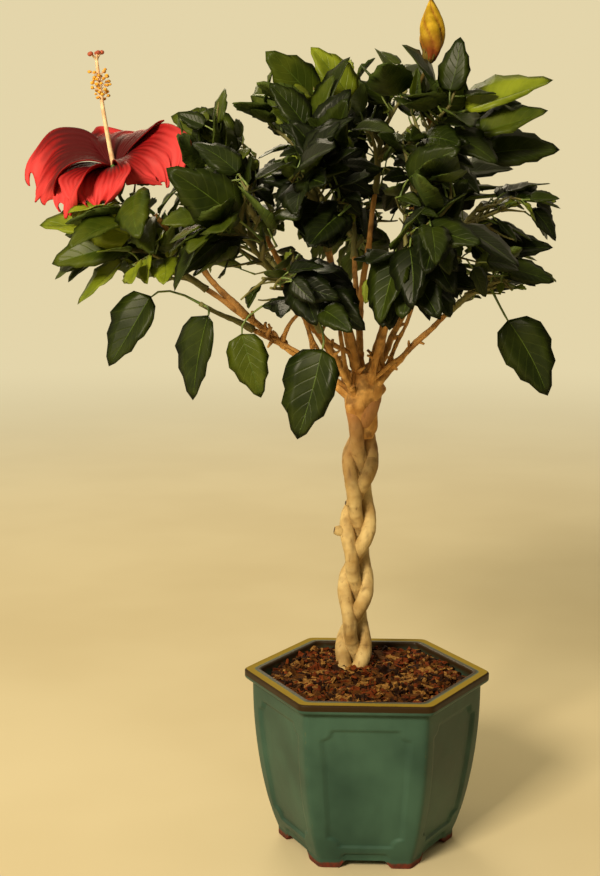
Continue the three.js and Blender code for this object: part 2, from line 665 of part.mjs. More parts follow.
// The leaves of a mass, each laid where it fits: inside the mass's space, off the limbs and off each other.
function growLeaves(row, order, sticks, space, limbBeads, gapBeads) {
  const laid = [];
  const stickBeads = sticks.flatMap((stick) => beads(stick, () => TWIG.tip));
  const layIfFree = (leaf, isInside) => {
    const faces = bladeFaces(leaf);
    const isFree =
      faces.corners.every(isInside) &&
      !limbBeads.some((bead) => touches(faces, bead, LEAF.clearLimb)) &&
      !limbBeads.some((bead) => stalkTouches(leaf, bead, LEAF.clearLimb)) &&
      !stickBeads.some((bead) => touches(faces, bead, LEAF.clearTwig)) &&
      !gapBeads.some((bead) => touches(faces, bead, 0)) &&
      !laid.some((other) => collide(faces, other.faces));
    if (isFree) laid.push({ leaf, faces });
    return isFree;
  };
  const lone = LONE_LEAVES.filter((leaf) => leaf.mass === row.name);
  lone.forEach((leaf, k) => {
    layIfFree(layLoneLeaf(leaf, sticks, order * 10 + k), (point) => !isAboveSkirt(point) || space.owns(point));
  });
  const seats = upTo(LEAF.perTwig).flatMap((j) => sticks.map((stick, s) => ({ stick, s, j })));
  const outer = seats.filter(({ s, j }) => s > 0 || j < LEAF.onStem);
  for (const { stick, s, j } of outer) {
    const share = between(LEAF.seats, j / LEAF.perTwig);
    upTo(LEAF.tries).some((attempt) => {
      const turn = (j + 2 * s) * GOLDEN_TURN + attempt * LEAF.retryTurn;
      const leaf = layLeaf(row.hang, stick, share, turn, order * 1000 + s * 20 + j, attempt);
      return layIfFree(leaf, (point) => space.holds(point) && isAboveSkirt(point));
    });
  }
  return laid.map(({ leaf }) => leaf);
}

// A leaf as a thin solid: a three-sided stalk that opens into a blade with a keel under its middle.
function leafSolid(leaf) {
  const ring = (middle, width, keel) => [
    middle.clone().addScaledVector(leaf.across, width),
    middle.clone().addScaledVector(leaf.across, -width),
    middle.clone().addScaledVector(leaf.face, -keel),
  ];
  const { left, right, tip } = bladeEdge(leaf);
  const edge = [...left, ...right];
  const keel = edge.reduce((sum, point) => sum.add(point), new THREE.Vector3()).divideScalar(edge.length);
  keel.addScaledVector(leaf.face, -LEAF.thick);
  const root = ring(leaf.root, LEAF.rootRadius, LEAF.rootRadius);
  const neck = ring(leaf.base, LEAF.stalkRadius, LEAF.thick);
  const points = [...root, ...neck, left[0], right[0], left[1], right[1], tip, keel];
  const stalk = [0, 2, 1, 0, 1, 4, 0, 4, 3, 1, 2, 5, 1, 5, 4, 2, 0, 3, 2, 3, 5];
  const upper = [3, 4, 7, 3, 7, 6, 6, 7, 9, 6, 9, 8, 8, 9, 10];
  const lower = [5, 3, 11, 3, 6, 11, 6, 8, 11, 8, 10, 11, 4, 5, 11, 7, 4, 11, 9, 7, 11, 10, 9, 11];
  return solidFrom(new THREE.BufferGeometry().setFromPoints(points).setIndex([...stalk, ...upper, ...lower]));
}

function leafMass([stem, ...twigs], leaves) {
  const { stemRadius, radius, tip, sides, steps } = TWIG;
  const sticks = twigs.map((twig) => sweep(twig, tapered(radius, tip), sides, 1));
  sticks.push(sweep(stem, tapered(stemRadius, radius), sides + 2, steps));
  return mainBody(join([...sticks, ...leaves.map(leafSolid)]));
}

// The path of a blossom's stalk, from a bough's tip to the blossom's foot.
function stalkPath(path, foot, axis) {
  const ahead = path.getTangentAt(1);
  const start = path.getPointAt(1).addScaledVector(ahead, CLEARANCE);
  const half = start.distanceTo(foot) / 2;
  const bends = [start.clone().addScaledVector(ahead, half), foot.clone().addScaledVector(axis, -half)];
  return new THREE.CubicBezierCurve3(start, ...bends, foot);
}

function stalk(path) {
  return sweep(path, () => BLOOM.stalkRadius, 5, 3);
}

// A petal as a thin slab. It turns away from the axis at an even rate from its root to its tip and droops
// ever more, is broadest past its middle, and lifts its two edges.
function petal({ turn, start, end, length, droop, roll }) {
  const { root, arc, fullness } = BLOOM.petalShape;
  const slab = new THREE.BoxGeometry(2, 1, BLOOM.petalThick, 2, 4, 1);
  const out = spoke(BLOOM.axis, THREE.MathUtils.degToRad(turn));
  const side = new THREE.Vector3().crossVectors(out, BLOOM.axis);
  const from = THREE.MathUtils.degToRad(start);
  const sweepAngle = THREE.MathUtils.degToRad(end) - from;
  const place = slab.attributes.position;
  for (let i = 0; i < place.count; i++) {
    const share = place.getY(i) + 0.5;
    const across = place.getX(i);
    const angle = from + sweepAngle * share;
    const half = (BLOOM.petalWidth / 2) * Math.sin(root + arc * share ** fullness);
    const tilt = THREE.MathUtils.degToRad(roll) * share;
    const lift = place.getZ(i) + half * across * (BLOOM.petalCup * across + Math.sin(tilt));
    const spread = (length * (Math.cos(from) - Math.cos(angle))) / sweepAngle;
    const rise = (length * (Math.sin(angle) - Math.sin(from))) / sweepAngle - droop * share ** 2;
    const point = BLOOM.foot.clone().addScaledVector(side, half * across * Math.cos(tilt));
    point.addScaledVector(out, spread - lift * Math.cos(angle));
    point.addScaledVector(BLOOM.axis, BLOOM.petalRise + rise + lift * Math.sin(angle));
    place.setXYZ(i, point.x, point.y, point.z);
  }
  return solidFrom(slab);
}

function bloom(stalkCurve) {
  const { foot, axis, columnLength, columnRadius, cupRadius, cupHeight, stalkRadius } = BLOOM;
  const along = (height) => foot.clone().addScaledVector(axis, height);
  const cup = sweep(straight(along(-2), along(cupHeight)), tapered(stalkRadius + 1, cupRadius), 6, 1);
  const core = straight(along(cupHeight / 2), along(columnLength));
  const column = sweep(core, tapered(columnRadius, columnRadius * 0.7), 5, 1);
  const anthers = upTo(BLOOM.anthers).map((k) => {
    const place = along(columnLength * between(BLOOM.antherSpan, k / BLOOM.anthers));
    place.addScaledVector(spoke(axis, k * GOLDEN_TURN), columnRadius + 1);
    return solidFrom(new THREE.OctahedronGeometry(BLOOM.anther).translate(...place));
  });
  const stigmas = upTo(BLOOM.stigmas).flatMap((k) => {
    const turn = (k * 2 * Math.PI) / BLOOM.stigmas;
    const tip = along(columnLength + BLOOM.fork).addScaledVector(spoke(axis, turn), BLOOM.fork);
    const pad = new THREE.OctahedronGeometry(BLOOM.stigma).translate(...tip);
    return [sweep(straight(along(columnLength - 3), tip), () => 0.7, 3, 1), solidFrom(pad)];
  });
  const petals = PETALS.map(petal);
  return mainBody(join([stalk(stalkCurve), cup, column, ...petals, ...anthers, ...stigmas]));
}

// The furled bud: a pointed spindle on its stalk.
function bud(stalkCurve) {
  const { root, arc, fullness } = BUD.shape;
  const spindle = (share) => BUD.tipRadius + BUD.radius * Math.sin(Math.PI * (root + arc * share) ** fullness);
  const body = sweep(straight(BUD.foot, BUD.tip), spindle, BUD.sides, BUD.steps);
  return mainBody(join([stalk(stalkCurve), body]));
}

const tree = new THREE.Group();
tree.name = "hibiscus_bonsai";
tree.add(meshFrom("pot", pot(), "glaze"));
tree.add(meshFrom("soil", soil(), "bark_chips"));
const headClear = head(CLEARANCE);
let pressed = headClear; // the stems lie hard against each other, so a later one gives way to an earlier one
["stem_first", "stem_second", "stem_third"].forEach((name, order) => {
  const bole = stem(order).subtract(pressed).trimByPlane([0, 0, 1], SOIL.crest + CLEARANCE);
  tree.add(meshFrom(name, mainBody(bole.trimByPlane([0, 0, -1], -PLAIT.top)), "bark"));
  pressed = pressed.add(stem(order, CLEARANCE));
});
tree.add(meshFrom("trunk_head", mainBody(head()), "bark"));

const limbs = [...CROWN, ...BLOSSOM];
const paths = new Map();
for (const row of limbs) paths.set(row.name, limbPath(row, paths));
let taken = headClear;
for (const row of limbs) {
  const path = paths.get(row.name);
  tree.add(meshFrom("bough_" + row.name, mainBody(limb(row, path).subtract(taken)), "bark"));
  taken = taken.add(limb(row, path, CLEARANCE));
}
const bloomStalk = stalkPath(paths.get("bloom"), BLOOM.foot, BLOOM.axis);
const budCore = straight(BUD.foot, BUD.tip);
const budStalk = stalkPath(paths.get("bud"), budCore.getPoint(0.05), budCore.getTangent(0));
const limbBeads = limbs.flatMap((row) => beads(paths.get(row.name), tapered(row.girth, LIMB.tipRadius)));
limbBeads.push(...beads(budCore, () => BUD.radius));
for (const curve of [bloomStalk, budStalk]) limbBeads.push(...beads(curve, () => BLOOM.stalkRadius));
const gapBeads = GAPS.flatMap((gap) => beads(sightLine(gap), () => gap.radius));
CROWN.forEach((row, order) => {
  const space = new Space(row, limbs.filter((other) => other !== row));
  const sticks = growSticks(row, order, paths.get(row.name), space, limbBeads);
  const leaves = growLeaves(row, order, sticks, space, limbBeads, gapBeads);
  tree.add(meshFrom("leaves_" + row.name, leafMass(sticks, leaves), "leaf"));
});
tree.add(meshFrom("red_bloom", bloom(bloomStalk), "petal"));
tree.add(meshFrom("yellow_bud", bud(budStalk), "bud"));

export default tree;
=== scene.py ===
"""Dresses the hibiscus bonsai: bark, leaves, bloom, pot and soil over the CAD frame.

Shapes are worked out in millimetres with +Z up and become metres when a mesh is made. The tree is meant to be
seen from -Y, so its left is -X and its front is -Y.
"""

import itertools
import logging
import math
from dataclasses import dataclass, field, replace
from enum import Enum
from typing import Any, Sequence

import bpy
import numpy as np
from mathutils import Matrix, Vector


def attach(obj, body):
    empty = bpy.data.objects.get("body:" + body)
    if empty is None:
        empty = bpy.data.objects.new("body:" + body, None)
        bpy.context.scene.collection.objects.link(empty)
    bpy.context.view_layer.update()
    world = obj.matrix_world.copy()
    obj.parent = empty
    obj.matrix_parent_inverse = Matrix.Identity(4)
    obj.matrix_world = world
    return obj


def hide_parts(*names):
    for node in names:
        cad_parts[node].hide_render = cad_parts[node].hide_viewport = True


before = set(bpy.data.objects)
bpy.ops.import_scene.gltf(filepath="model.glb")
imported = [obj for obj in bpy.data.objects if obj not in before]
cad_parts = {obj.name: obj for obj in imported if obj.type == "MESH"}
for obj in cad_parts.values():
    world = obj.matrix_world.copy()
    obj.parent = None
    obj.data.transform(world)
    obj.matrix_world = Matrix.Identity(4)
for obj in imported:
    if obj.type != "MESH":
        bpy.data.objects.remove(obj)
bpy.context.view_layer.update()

log = logging.getLogger("hibiscus_bonsai")
Array = np.ndarray
Span = tuple[float, float]
Point = tuple[float, float, float]

MM = 0.001
WORD = 0xFFFFFFFF
UP = np.array((0.0, 0.0, 1.0))
GOLDEN_TURN = math.pi * (3 - math.sqrt(5))
# A hexagon's reach to the middle of a side, as a share of its reach to a corner.
APOTHEM = math.cos(math.pi / 6)
# Between neighbouring solids of the CAD.
CLEARANCE = 0.3
# The middle of the trunk's head, which the boughs spring from.
HEAD = np.array((-4.0, 15.0, 328.0))


def unit(vectors: Array) -> Array:
    """Each vector divided by its own length."""
    return vectors / np.linalg.norm(vectors, axis=-1, keepdims=True)


def dot(one: Array, other: Array) -> Array:
    """The products of two arrays of vectors, summed over x, y and z."""
    return (one * other).sum(axis=-1)


def lerp(low: Any, high: Any, share: Any) -> Any:
    """The value a share of the way from low to high."""
    return low + (high - low) * share


def smooth(low: float, high: float, value: Array) -> Array:
    """An S-shaped step from 0 at low to 1 at high: 3t^2 - 2t^3 of the clipped share t."""
    share = np.clip((value - low) / (high - low), 0, 1)
    return share * share * (3 - 2 * share)


def around(sides: int) -> Array:
    """Even angles round a full turn, from 0 on."""
    return np.linspace(0, 2 * math.pi, sides, endpoint=False)


def polar(reach: Any, turn: Array, level: Any) -> Array:
    """Places by their distance from the Z axis, their angle about it and their height."""
    return np.stack(np.broadcast_arrays(reach * np.cos(turn), reach * np.sin(turn), level), axis=-1)


def spoke(axis: Array, turn: Any) -> Array:
    """A unit vector square to an axis, turned about it.

    It is the axis crossed with up, or with X where the axis is itself nearly upright, turned by an angle.

    Args:
        axis: unit vector to be square to.
        turn: angle in radians, one or an array of them.

    Returns:
        One vector, or one row for each angle.
    """
    aside = np.array((1.0, 0.0, 0.0)) if abs(axis[2]) > 0.9 else UP
    first = unit(np.cross(axis, aside))
    turn = np.asarray(turn)[..., None]
    return first * np.cos(turn) + np.cross(axis, first) * np.sin(turn)


def chance(*keys: int) -> float:
    """A number from 0 to 1 that depends on its keys alone: each is mixed in, multiplied and shifted.

    Args:
        *keys: whole numbers.

    Returns:
        The number.
    """
    mix = 2166136261
    for key in keys:
        mix = ((mix ^ key) * 16777619) & WORD
        mix = ((mix ^ (mix >> 13)) * 1540483477) & WORD
        mix ^= mix >> 15
    return mix / (WORD + 1)


def lumps(points: Array, size: float, seed: int = 0) -> Array:
    """Smooth noise in space, from -1 to 1.

    Each point blends the random values at the eight corners of its lattice cell, by S-shaped steps.

    Args:
        points: places, x, y and z last.
        size: edge of a cell.
        seed: picks the random values.

    Returns:
        One value for each point.
    """
    cell = np.floor(points / size).astype(np.int64)
    part = points / size - cell
    part = part * part * (3 - 2 * part)
    total = np.zeros(points.shape[:-1])
    for corner in itertools.product((0, 1), repeat=3):
        key = (cell + corner) @ np.array((374761393, 668265263, 1103515245)) + seed * 974711
        key = ((key & WORD) ^ ((key & WORD) >> 13)) * 1274126177 & WORD
        value = ((key ^ (key >> 16)) & 0xFFFF) / 0x7FFF - 1
        total += value * np.where(corner, part, 1 - part).prod(axis=-1)
    return total


class Path:
    """A Bezier curve that is measured along its length."""

    def __init__(self, *handles: Array) -> None:
        """Takes the handles in order and measures the curve along 200 chords.

        Args:
            *handles: the handles in order.
        """
        self.handles = np.array(handles, float)
        self.ticks = np.linspace(0, 1, 201)
        chords = np.linalg.norm(np.diff(self.place(self.ticks), axis=0), axis=1)
        self.travel = np.concatenate(([0], np.cumsum(chords)))

    def place(self, tick: Any) -> Array:
        """Places at the curve's own parameter, the handles weighed by Bernstein's polynomials.

        Args:
            tick: parameters from 0 to 1, one or an array of them.

        Returns:
            One place, or one row for each.
        """
        tick = np.asarray(tick, float)[..., None]
        last = len(self.handles) - 1
        weights = [math.comb(last, k) * tick**k * (1 - tick) ** (last - k) for k in range(last + 1)]
        return sum(weight * handle for weight, handle in zip(weights, self.handles))

    @property
    def length(self) -> float:
        """The curve's whole length."""
        return float(self.travel[-1])

    def tick(self, share: Any) -> Array:
        """The curve's own parameter at a share of its length."""
        return np.interp(np.asarray(share) * self.length, self.travel, self.ticks)

    def at(self, share: Any) -> Array:
        """Places at shares of the curve's length."""
        return self.place(self.tick(share))

    def ahead(self, share: Any) -> Array:
        """Unit directions at shares of the curve's length, from the chord between two near places."""
        tick = self.tick(share)
        return unit(self.place(np.minimum(tick + 1e-4, 1)) - self.place(np.maximum(tick - 1e-4, 0)))


@dataclass
class Skin:
    """A mesh in the making, in millimetres.

    Attributes:
        points: places, one row each.
        faces: corner numbers, four to a row, with -1 last in a triangle.
        tints: number of each face's finish.
        marks: named numbers for the finishes to read, one for each point.
    """

    points: Array
    faces: Array
    tints: Array
    marks: dict[str, Array] = field(default_factory=dict)

    @classmethod
    def joined(cls, skins: Sequence["Skin"]) -> "Skin":
        """All the skins as one, which has the marks that the first has.

        Args:
            skins: the skins.

        Returns:
            One skin.
        """
        starts = np.cumsum([0] + [len(skin.points) for skin in skins[:-1]])
        faces = [np.where(skin.faces < 0, -1, skin.faces + start) for skin, start in zip(skins, starts)]
        marks = {key: np.concatenate([skin.marks[key] for skin in skins]) for key in skins[0].marks}
        tints = np.concatenate([skin.tints for skin in skins])
        return cls(np.concatenate([skin.points for skin in skins]), np.concatenate(faces), tints, marks)

    @classmethod
    def tube(cls, rings: Array, tint: int = 0, **marks: Array) -> "Skin":
        """A closed tube from rings of points, with a fan of triangles over each end.

        Args:
            rings: ring, point round the ring, then x, y and z; rings run counter-clockwise seen from ahead.
            tint: number of the finish.
            **marks: numbers for each ring and point.

        Returns:
            The tube.
        """
        count, sides = rings.shape[:2]
        here = np.arange(count * sides).reshape(count, sides)
        beside = np.roll(here, -1, axis=1)
        walls = np.stack((here[:-1], beside[:-1], beside[1:], here[1:]), axis=-1).reshape(-1, 4)
        none = np.full(sides, -1)
        low, high = np.full(sides, count * sides), np.full(sides, count * sides + 1)
        first = np.stack((low, beside[0], here[0], none), axis=-1)
        last = np.stack((high, here[-1], beside[-1], none), axis=-1)
        faces = np.concatenate((walls, first, last))
        points = np.concatenate((rings.reshape(-1, 3), rings[[0, -1]].mean(axis=1)))
        spread = {key: np.append(value.ravel(), value[[0, -1]].mean(axis=1)) for key, value in marks.items()}
        return cls(points, faces, np.full(len(faces), tint), spread)

    @classmethod
    def rod(cls, line: Array, radii: Any, sides: int, tint: int = 0) -> "Skin":
        """A closed round tube along a line, with one radius or one for each place."""
        return cls.tube(rings(line, np.broadcast_to(np.asarray(radii, float), len(line)), sides), tint)

    def unmarked(self, *keys: str) -> "Skin":
        """The same skin with these marks at 0 all over."""
        return replace(self, marks={key: np.zeros(len(self.points)) for key in keys})

    @classmethod
    def plate(cls, upper: Array, lower: Array, tints: tuple[int, int], **marks: Array) -> "Skin":
        """A closed plate between two grids of points, with a wall round its edge.

        Args:
            upper: row, column, then x, y and z; from above, columns run counter-clockwise of rows.
            lower: the like grid under it.
            tints: numbers of the finishes above and below.
            **marks: numbers for each row and column.

        Returns:
            The plate.
        """
        rows, columns = upper.shape[:2]
        top = np.arange(rows * columns).reshape(rows, columns)
        quads = np.stack((top[:-1, :-1], top[1:, :-1], top[1:, 1:], top[:-1, 1:]), axis=-1).reshape(-1, 4)
        edge = np.concatenate((top[:-1, 0], top[-1, :-1], top[:0:-1, -1], top[0, :0:-1]))
        after = np.roll(edge, -1)
        wall = np.stack((after, edge, edge + rows * columns, after + rows * columns), axis=-1)
        faces = np.concatenate((quads, quads[:, ::-1] + rows * columns, wall))
        tint = np.repeat((tints[0], tints[1], tints[1]), (len(quads), len(quads), len(wall)))
        points = np.concatenate((upper.reshape(-1, 3), lower.reshape(-1, 3)))
        return cls(points, faces, tint, {key: np.tile(value.ravel(), 2) for key, value in marks.items()})


def rings(centres: Array, radii: Array, sides: int) -> Array:
    """A ring of points about each place of a line.

    A ring is square to the line there. Its first point lies to one fixed side of the whole line, and each
    next one is turned on by an even angle.

    Args:
        centres: places along the line.
        radii: radius of each ring, or of each ring and point.
        sides: points in a ring.

    Returns:
        Ring, point round the ring, then x, y and z.
    """
    ahead = unit(np.gradient(centres, axis=0))
    aside = spoke(unit(centres[-1] - centres[0]), 0.0)
    first = unit(aside - dot(aside, ahead)[:, None] * ahead)
    second = np.cross(ahead, first)
    turn = around(sides)[:, None]
    out = first[:, None] * np.cos(turn) + second[:, None] * np.sin(turn)
    radii = np.broadcast_to(np.asarray(radii, float).reshape(len(centres), -1), (len(centres), sides))
    return centres[:, None] + radii[..., None] * out


class Value:
    """One output of a shader graph, with arithmetic that makes Math nodes."""

    def __init__(self, graph: "Graph", socket: bpy.types.NodeSocket) -> None:
        """Keeps the graph and the socket."""
        self.graph = graph
        self.socket = socket

    def math(self, operation: str, one: Any, other: Any = 0.0) -> "Value":
        """A Math node of two numbers or sockets, by the name of its operation."""
        return self.graph.node("Math", {0: one, 1: other}, operation=operation)

    def __add__(self, other: Any) -> "Value":
        """This plus the other."""
        return self.math("ADD", self, other)

    def __radd__(self, other: Any) -> "Value":
        """The other plus this."""
        return self.math("ADD", other, self)

    def __sub__(self, other: Any) -> "Value":
        """This less the other."""
        return self.math("SUBTRACT", self, other)

    def __rsub__(self, other: Any) -> "Value":
        """The other less this."""
        return self.math("SUBTRACT", other, self)

    def __mul__(self, other: Any) -> "Value":
        """This times the other."""
        return self.math("MULTIPLY", self, other)

    def __rmul__(self, other: Any) -> "Value":
        """The other times this."""
        return self.math("MULTIPLY", other, self)

    def __abs__(self) -> "Value":
        """This without its sign."""
        return self.math("ABSOLUTE", self)


class Graph:
    """The node tree of one material or of the background."""

    BRIGHT_WAY = (-0.35, 0.93, 0.1)
    BRIGHT_SPAN = (-0.35, 0.75)
    BRIGHT_LEVELS = (0.24, 0.84)

    def __init__(self, owner: bpy.types.ID) -> None:
        """Empties the node tree of its owner.

        Args:
            owner: a material or a world.
        """
        self.owner = owner
        owner.use_nodes = True
        owner.node_tree.nodes.clear()

    def node(self, kind: str, sockets: dict[Any, Any], output: Any = 0, **settings: Any) -> Value:
        """Makes one node of any kind.

        Args:
            kind: the node's type, without its prefix.
            sockets: what goes into its inputs, by name or number: a number, a colour or another node's value.
            output: name or number of the output to give back.
            **settings: the node's own settings.

        Returns:
            The output.
        """
        made = self.owner.node_tree.nodes.new("ShaderNode" + kind)
        for key, value in settings.items():
            setattr(made, key, value)
        for key, value in sockets.items():
            if isinstance(value, Value):
                self.owner.node_tree.links.new(value.socket, made.inputs[key])
            else:
                made.inputs[key].default_value = value
        return Value(self, made.outputs[output] if made.outputs else None)

    def place(self) -> Value:
        """The place on the object, in metres."""
        return self.node("TexCoord", {}, "Object")

    def height(self) -> Value:
        """The height on the object, in metres."""
        return self.node("SeparateXYZ", {0: self.place()}, "Z")

    def mark(self, name: str) -> Value:
        """A number that the mesh carries at each of its points."""
        return self.node("Attribute", {}, "Fac", attribute_name=name)

    def noise(self, scale: float, detail: float = 3.0, squash: Point = (1.0, 1.0, 1.0)) -> Value:
        """Noise over the object from about 0 to 1, by its cells in a metre and how it is stretched."""
        where = self.node("VectorMath", {0: self.place(), 1: squash}, operation="MULTIPLY")
        return self.node("TexNoise", {"Vector": where, "Scale": scale, "Detail": detail})

    def fade(self, value: Any, low: float, high: float) -> Value:
        """An S-shaped step from 0 at low to 1 at high."""
        return self.node("MapRange", {0: value, 1: low, 2: high}, interpolation_type="SMOOTHSTEP")

    def mix(self, one: Any, other: Any, share: Any) -> Value:
        """The colour a share of the way from one colour to the other."""
        return self.node("Mix", {0: share, 6: one, 7: other}, 2, data_type="RGBA")

    def bump(self, height: Value, depth: float) -> Value:
        """A normal that shows a height from 0 to 1 as relief of that depth in millimetres."""
        return self.node("Bump", {"Height": height, "Strength": 1.0, "Distance": depth * MM})

    def surface(self, sockets: dict[str, Any]) -> Value:
        """A principled surface with these inputs."""
        return self.node("BsdfPrincipled", sockets)

    def daylight(self, way: Value, code: str) -> Value:
        """The background's light from a direction: one colour, brightest from behind on the left.

        Args:
            way: the direction.
            code: the colour, as tone() reads it.

        Returns:
            The colour, dimmed by the direction.
        """
        toward = self.node("VectorMath", {0: way, 1: self.BRIGHT_WAY}, "Value", operation="DOT_PRODUCT")
        dim, bright = ((*(level * v for v in tone(code)[:3]), 1.0) for level in self.BRIGHT_LEVELS)
        return self.mix(dim, bright, self.fade(toward, *self.BRIGHT_SPAN))

    def finish(self, surface: Value, output: str = "OutputMaterial") -> bpy.types.ID:
        """Puts the surface on the owner and gives the owner back."""
        self.node(output, {"Surface": surface})
        return self.owner


def tone(code: str) -> tuple[float, float, float, float]:
    """A colour written as six hexadecimal digits of sRGB, as linear red, green, blue and 1."""
    levels = [int(code[k : k + 2], 16) / 255 for k in (0, 2, 4)]
    return (*(v / 12.92 if v < 0.04045 else ((v + 0.055) / 1.055) ** 2.4 for v in levels), 1.0)


@dataclass(frozen=True)
class Finish:
    """A surface in two tones that noise deals out, with fine relief.

    Attributes:
        name: name of the material.
        dark: darker tone, as tone() reads it.
        light: lighter tone.
        grain: cells of the noise in a metre.
        rough: roughness.
        depth: depth of the relief in millimetres.
        coat: weight of a clear coat.
        shine: level of the plain reflection.
    """

    name: str
    dark: str
    light: str
    grain: float = 200.0
    rough: float = 0.6
    depth: float = 0.15
    coat: float = 0.0
    shine: float = 0.5

    def material(self) -> bpy.types.Material:
        """The finish's material, made the first time it is asked for."""
        return bpy.data.materials.get(self.name) or self.paint(Graph(bpy.data.materials.new(self.name)))

    def colour(self, graph: Graph) -> Value:
        """The two tones mixed by noise."""
        return graph.mix(tone(self.dark), tone(self.light), graph.fade(graph.noise(self.grain), 0.3, 0.7))

    def relief(self, graph: Graph) -> Value:
        """The height that the surface is bumped by."""
        return graph.noise(self.grain * 4, 2.0)

    def dullness(self, graph: Graph) -> Value:
        """Roughness that varies a little with its own noise."""
        return self.rough * (0.8 + 0.4 * graph.noise(self.grain * 2))

    def coating(self, graph: Graph) -> Any:
        """Weight of the clear coat."""
        return self.coat

    def paint(self, graph: Graph) -> bpy.types.Material:
        """Builds the material from its tones, roughness, relief and coat.

        Args:
            graph: the material's graph.

        Returns:
            The material.
        """
        sockets = {
            "Base Color": self.colour(graph),
            "Roughness": self.dullness(graph),
            "Normal": graph.bump(self.relief(graph), self.depth),
            "Coat Weight": self.coating(graph),
            "Specular IOR Level": self.shine,
        }
        return graph.finish(graph.surface(sockets))


@dataclass(frozen=True)
class Glaze(Finish):
    """The pot's glaze by marks: "worn" is thin and golden, the dark mark a brown band on the rim's face and
    painted shade inside the rim, and "bare" the clay itself.
    """

    thin: str = "86701a"
    clay: str = "6a2f22"
    burnt: str = "4a2a22"
    # Tone of the rim's dark band, also used as painted shade inside the rim.
    edge: str = "2c1d0a"

    def colour(self, graph: Graph) -> Value:
        """Mottled and streaked glaze: golden where thin, dark in a band at the rim's edge and as painted
        shade inside the rim, and clay where bare.

        Args:
            graph: the material's graph.

        Returns:
            The colour.
        """
        streaks = graph.noise(60.0, 4.0, (1.0, 1.0, 0.25))
        body = graph.mix(super().colour(graph), tone(self.dark), 0.3 * graph.fade(streaks, 0.45, 0.75))
        ragged = graph.mark("worn") + 0.5 * (graph.noise(350.0) - 0.5)
        thin = graph.mix(body, tone(self.thin), graph.fade(ragged, 0.25, 0.85))
        # A dark band round the rim's face, and painted shade inside the rim.
        seam = graph.mark("seam") + 0.3 * graph.noise(200.0)
        glazed = graph.mix(thin, tone(self.edge), graph.fade(seam, 0.4, 0.9))
        bare = graph.mark("bare") + 0.6 * (graph.noise(160.0) - 0.5)
        clay = graph.mix(tone(self.clay), tone(self.burnt), graph.fade(graph.noise(300.0), 0.35, 0.7))
        return graph.mix(glazed, clay, graph.fade(bare, 0.4, 0.6))

    def dullness(self, graph: Graph) -> Value:
        """Rougher where the glaze is worn or bare."""
        return super().dullness(graph) + 0.4 * graph.mark("worn") + 0.4 * graph.mark("bare")

    def coating(self, graph: Graph) -> Value:
        """The coat leaves off where the glaze is worn or bare."""
        return self.coat * (1 - graph.mark("worn")) * (1 - graph.mark("bare"))


@dataclass(frozen=True)
class Bark(Finish):
    """Bark that ripens from a pale foot to a brown head, dark in the grooves by the mark "groove".

    Attributes:
        ripe: tone at the head.
        span: heights in metres between which it ripens.
        stain: how strongly dark patches show.
        fleck: tone of short flecks along the stem.
        blot: tone of the dark patches.
        hollow: tone in the grooves.
    """

    ripe: str = "9a6a3c"
    span: Span = (0.2, 0.34)
    stain: float = 0.2
    fleck: str = "6b4a28"
    blot: str = "4e2e16"
    hollow: str = "4a2f18"

    def colour(self, graph: Graph) -> Value:
        """Pale bark ripening upwards, with flecks, dark patches and dark grooves.

        Args:
            graph: the material's graph.

        Returns:
            The colour.
        """
        height = graph.height() + 0.04 * (graph.noise(45.0) - 0.5)
        ripe = graph.mix(super().colour(graph), tone(self.ripe), graph.fade(height, *self.span))
        flecks = graph.fade(graph.noise(420.0, 2.0, (1.0, 1.0, 0.35)), 0.6, 0.75)
        flecked = graph.mix(ripe, tone(self.fleck), 0.4 * flecks)
        blots = graph.fade(graph.noise(110.0, 4.0), 0.5, 0.68)
        stained = graph.mix(flecked, tone(self.blot), self.stain * blots)
        return graph.mix(stained, tone(self.hollow), 0.6 * graph.mark("groove"))

    def relief(self, graph: Graph) -> Value:
        """Fine ridges that run along the stem."""
        return graph.noise(700.0, 4.0, (1.0, 1.0, 0.2))


@dataclass(frozen=True)
class Blade(Finish):
    """A leaf's face, with side veins that leave the midrib at an angle.

    Attributes:
        veins: side veins on each half.
        slant: how far a vein runs on towards the tip, in gaps between veins.
        ink: how strongly the veins show.
        pale: tone of the veins.
    """

    shine: float = 0.18
    veins: float = 7.0
    slant: float = 2.2
    ink: float = 0.35
    pale: str = "6a7a28"

    def vein(self, graph: Graph) -> Value:
        """Height of the nearest side vein: a narrow ridge wherever along less slanted across is whole."""
        phase = graph.mark("along") * self.veins - abs(graph.mark("across")) * self.slant
        return graph.fade(phase.math("PINGPONG", phase, 0.5), 0.12, 0.0)

    def colour(self, graph: Graph) -> Value:
        """Mottled green with paler veins."""
        return graph.mix(super().colour(graph), tone(self.pale), self.ink * self.vein(graph))

    def relief(self, graph: Graph) -> Value:
        """The blade swells between its veins, under a fine grain."""
        return 0.25 * graph.noise(self.grain * 6) - 0.75 * self.vein(graph)


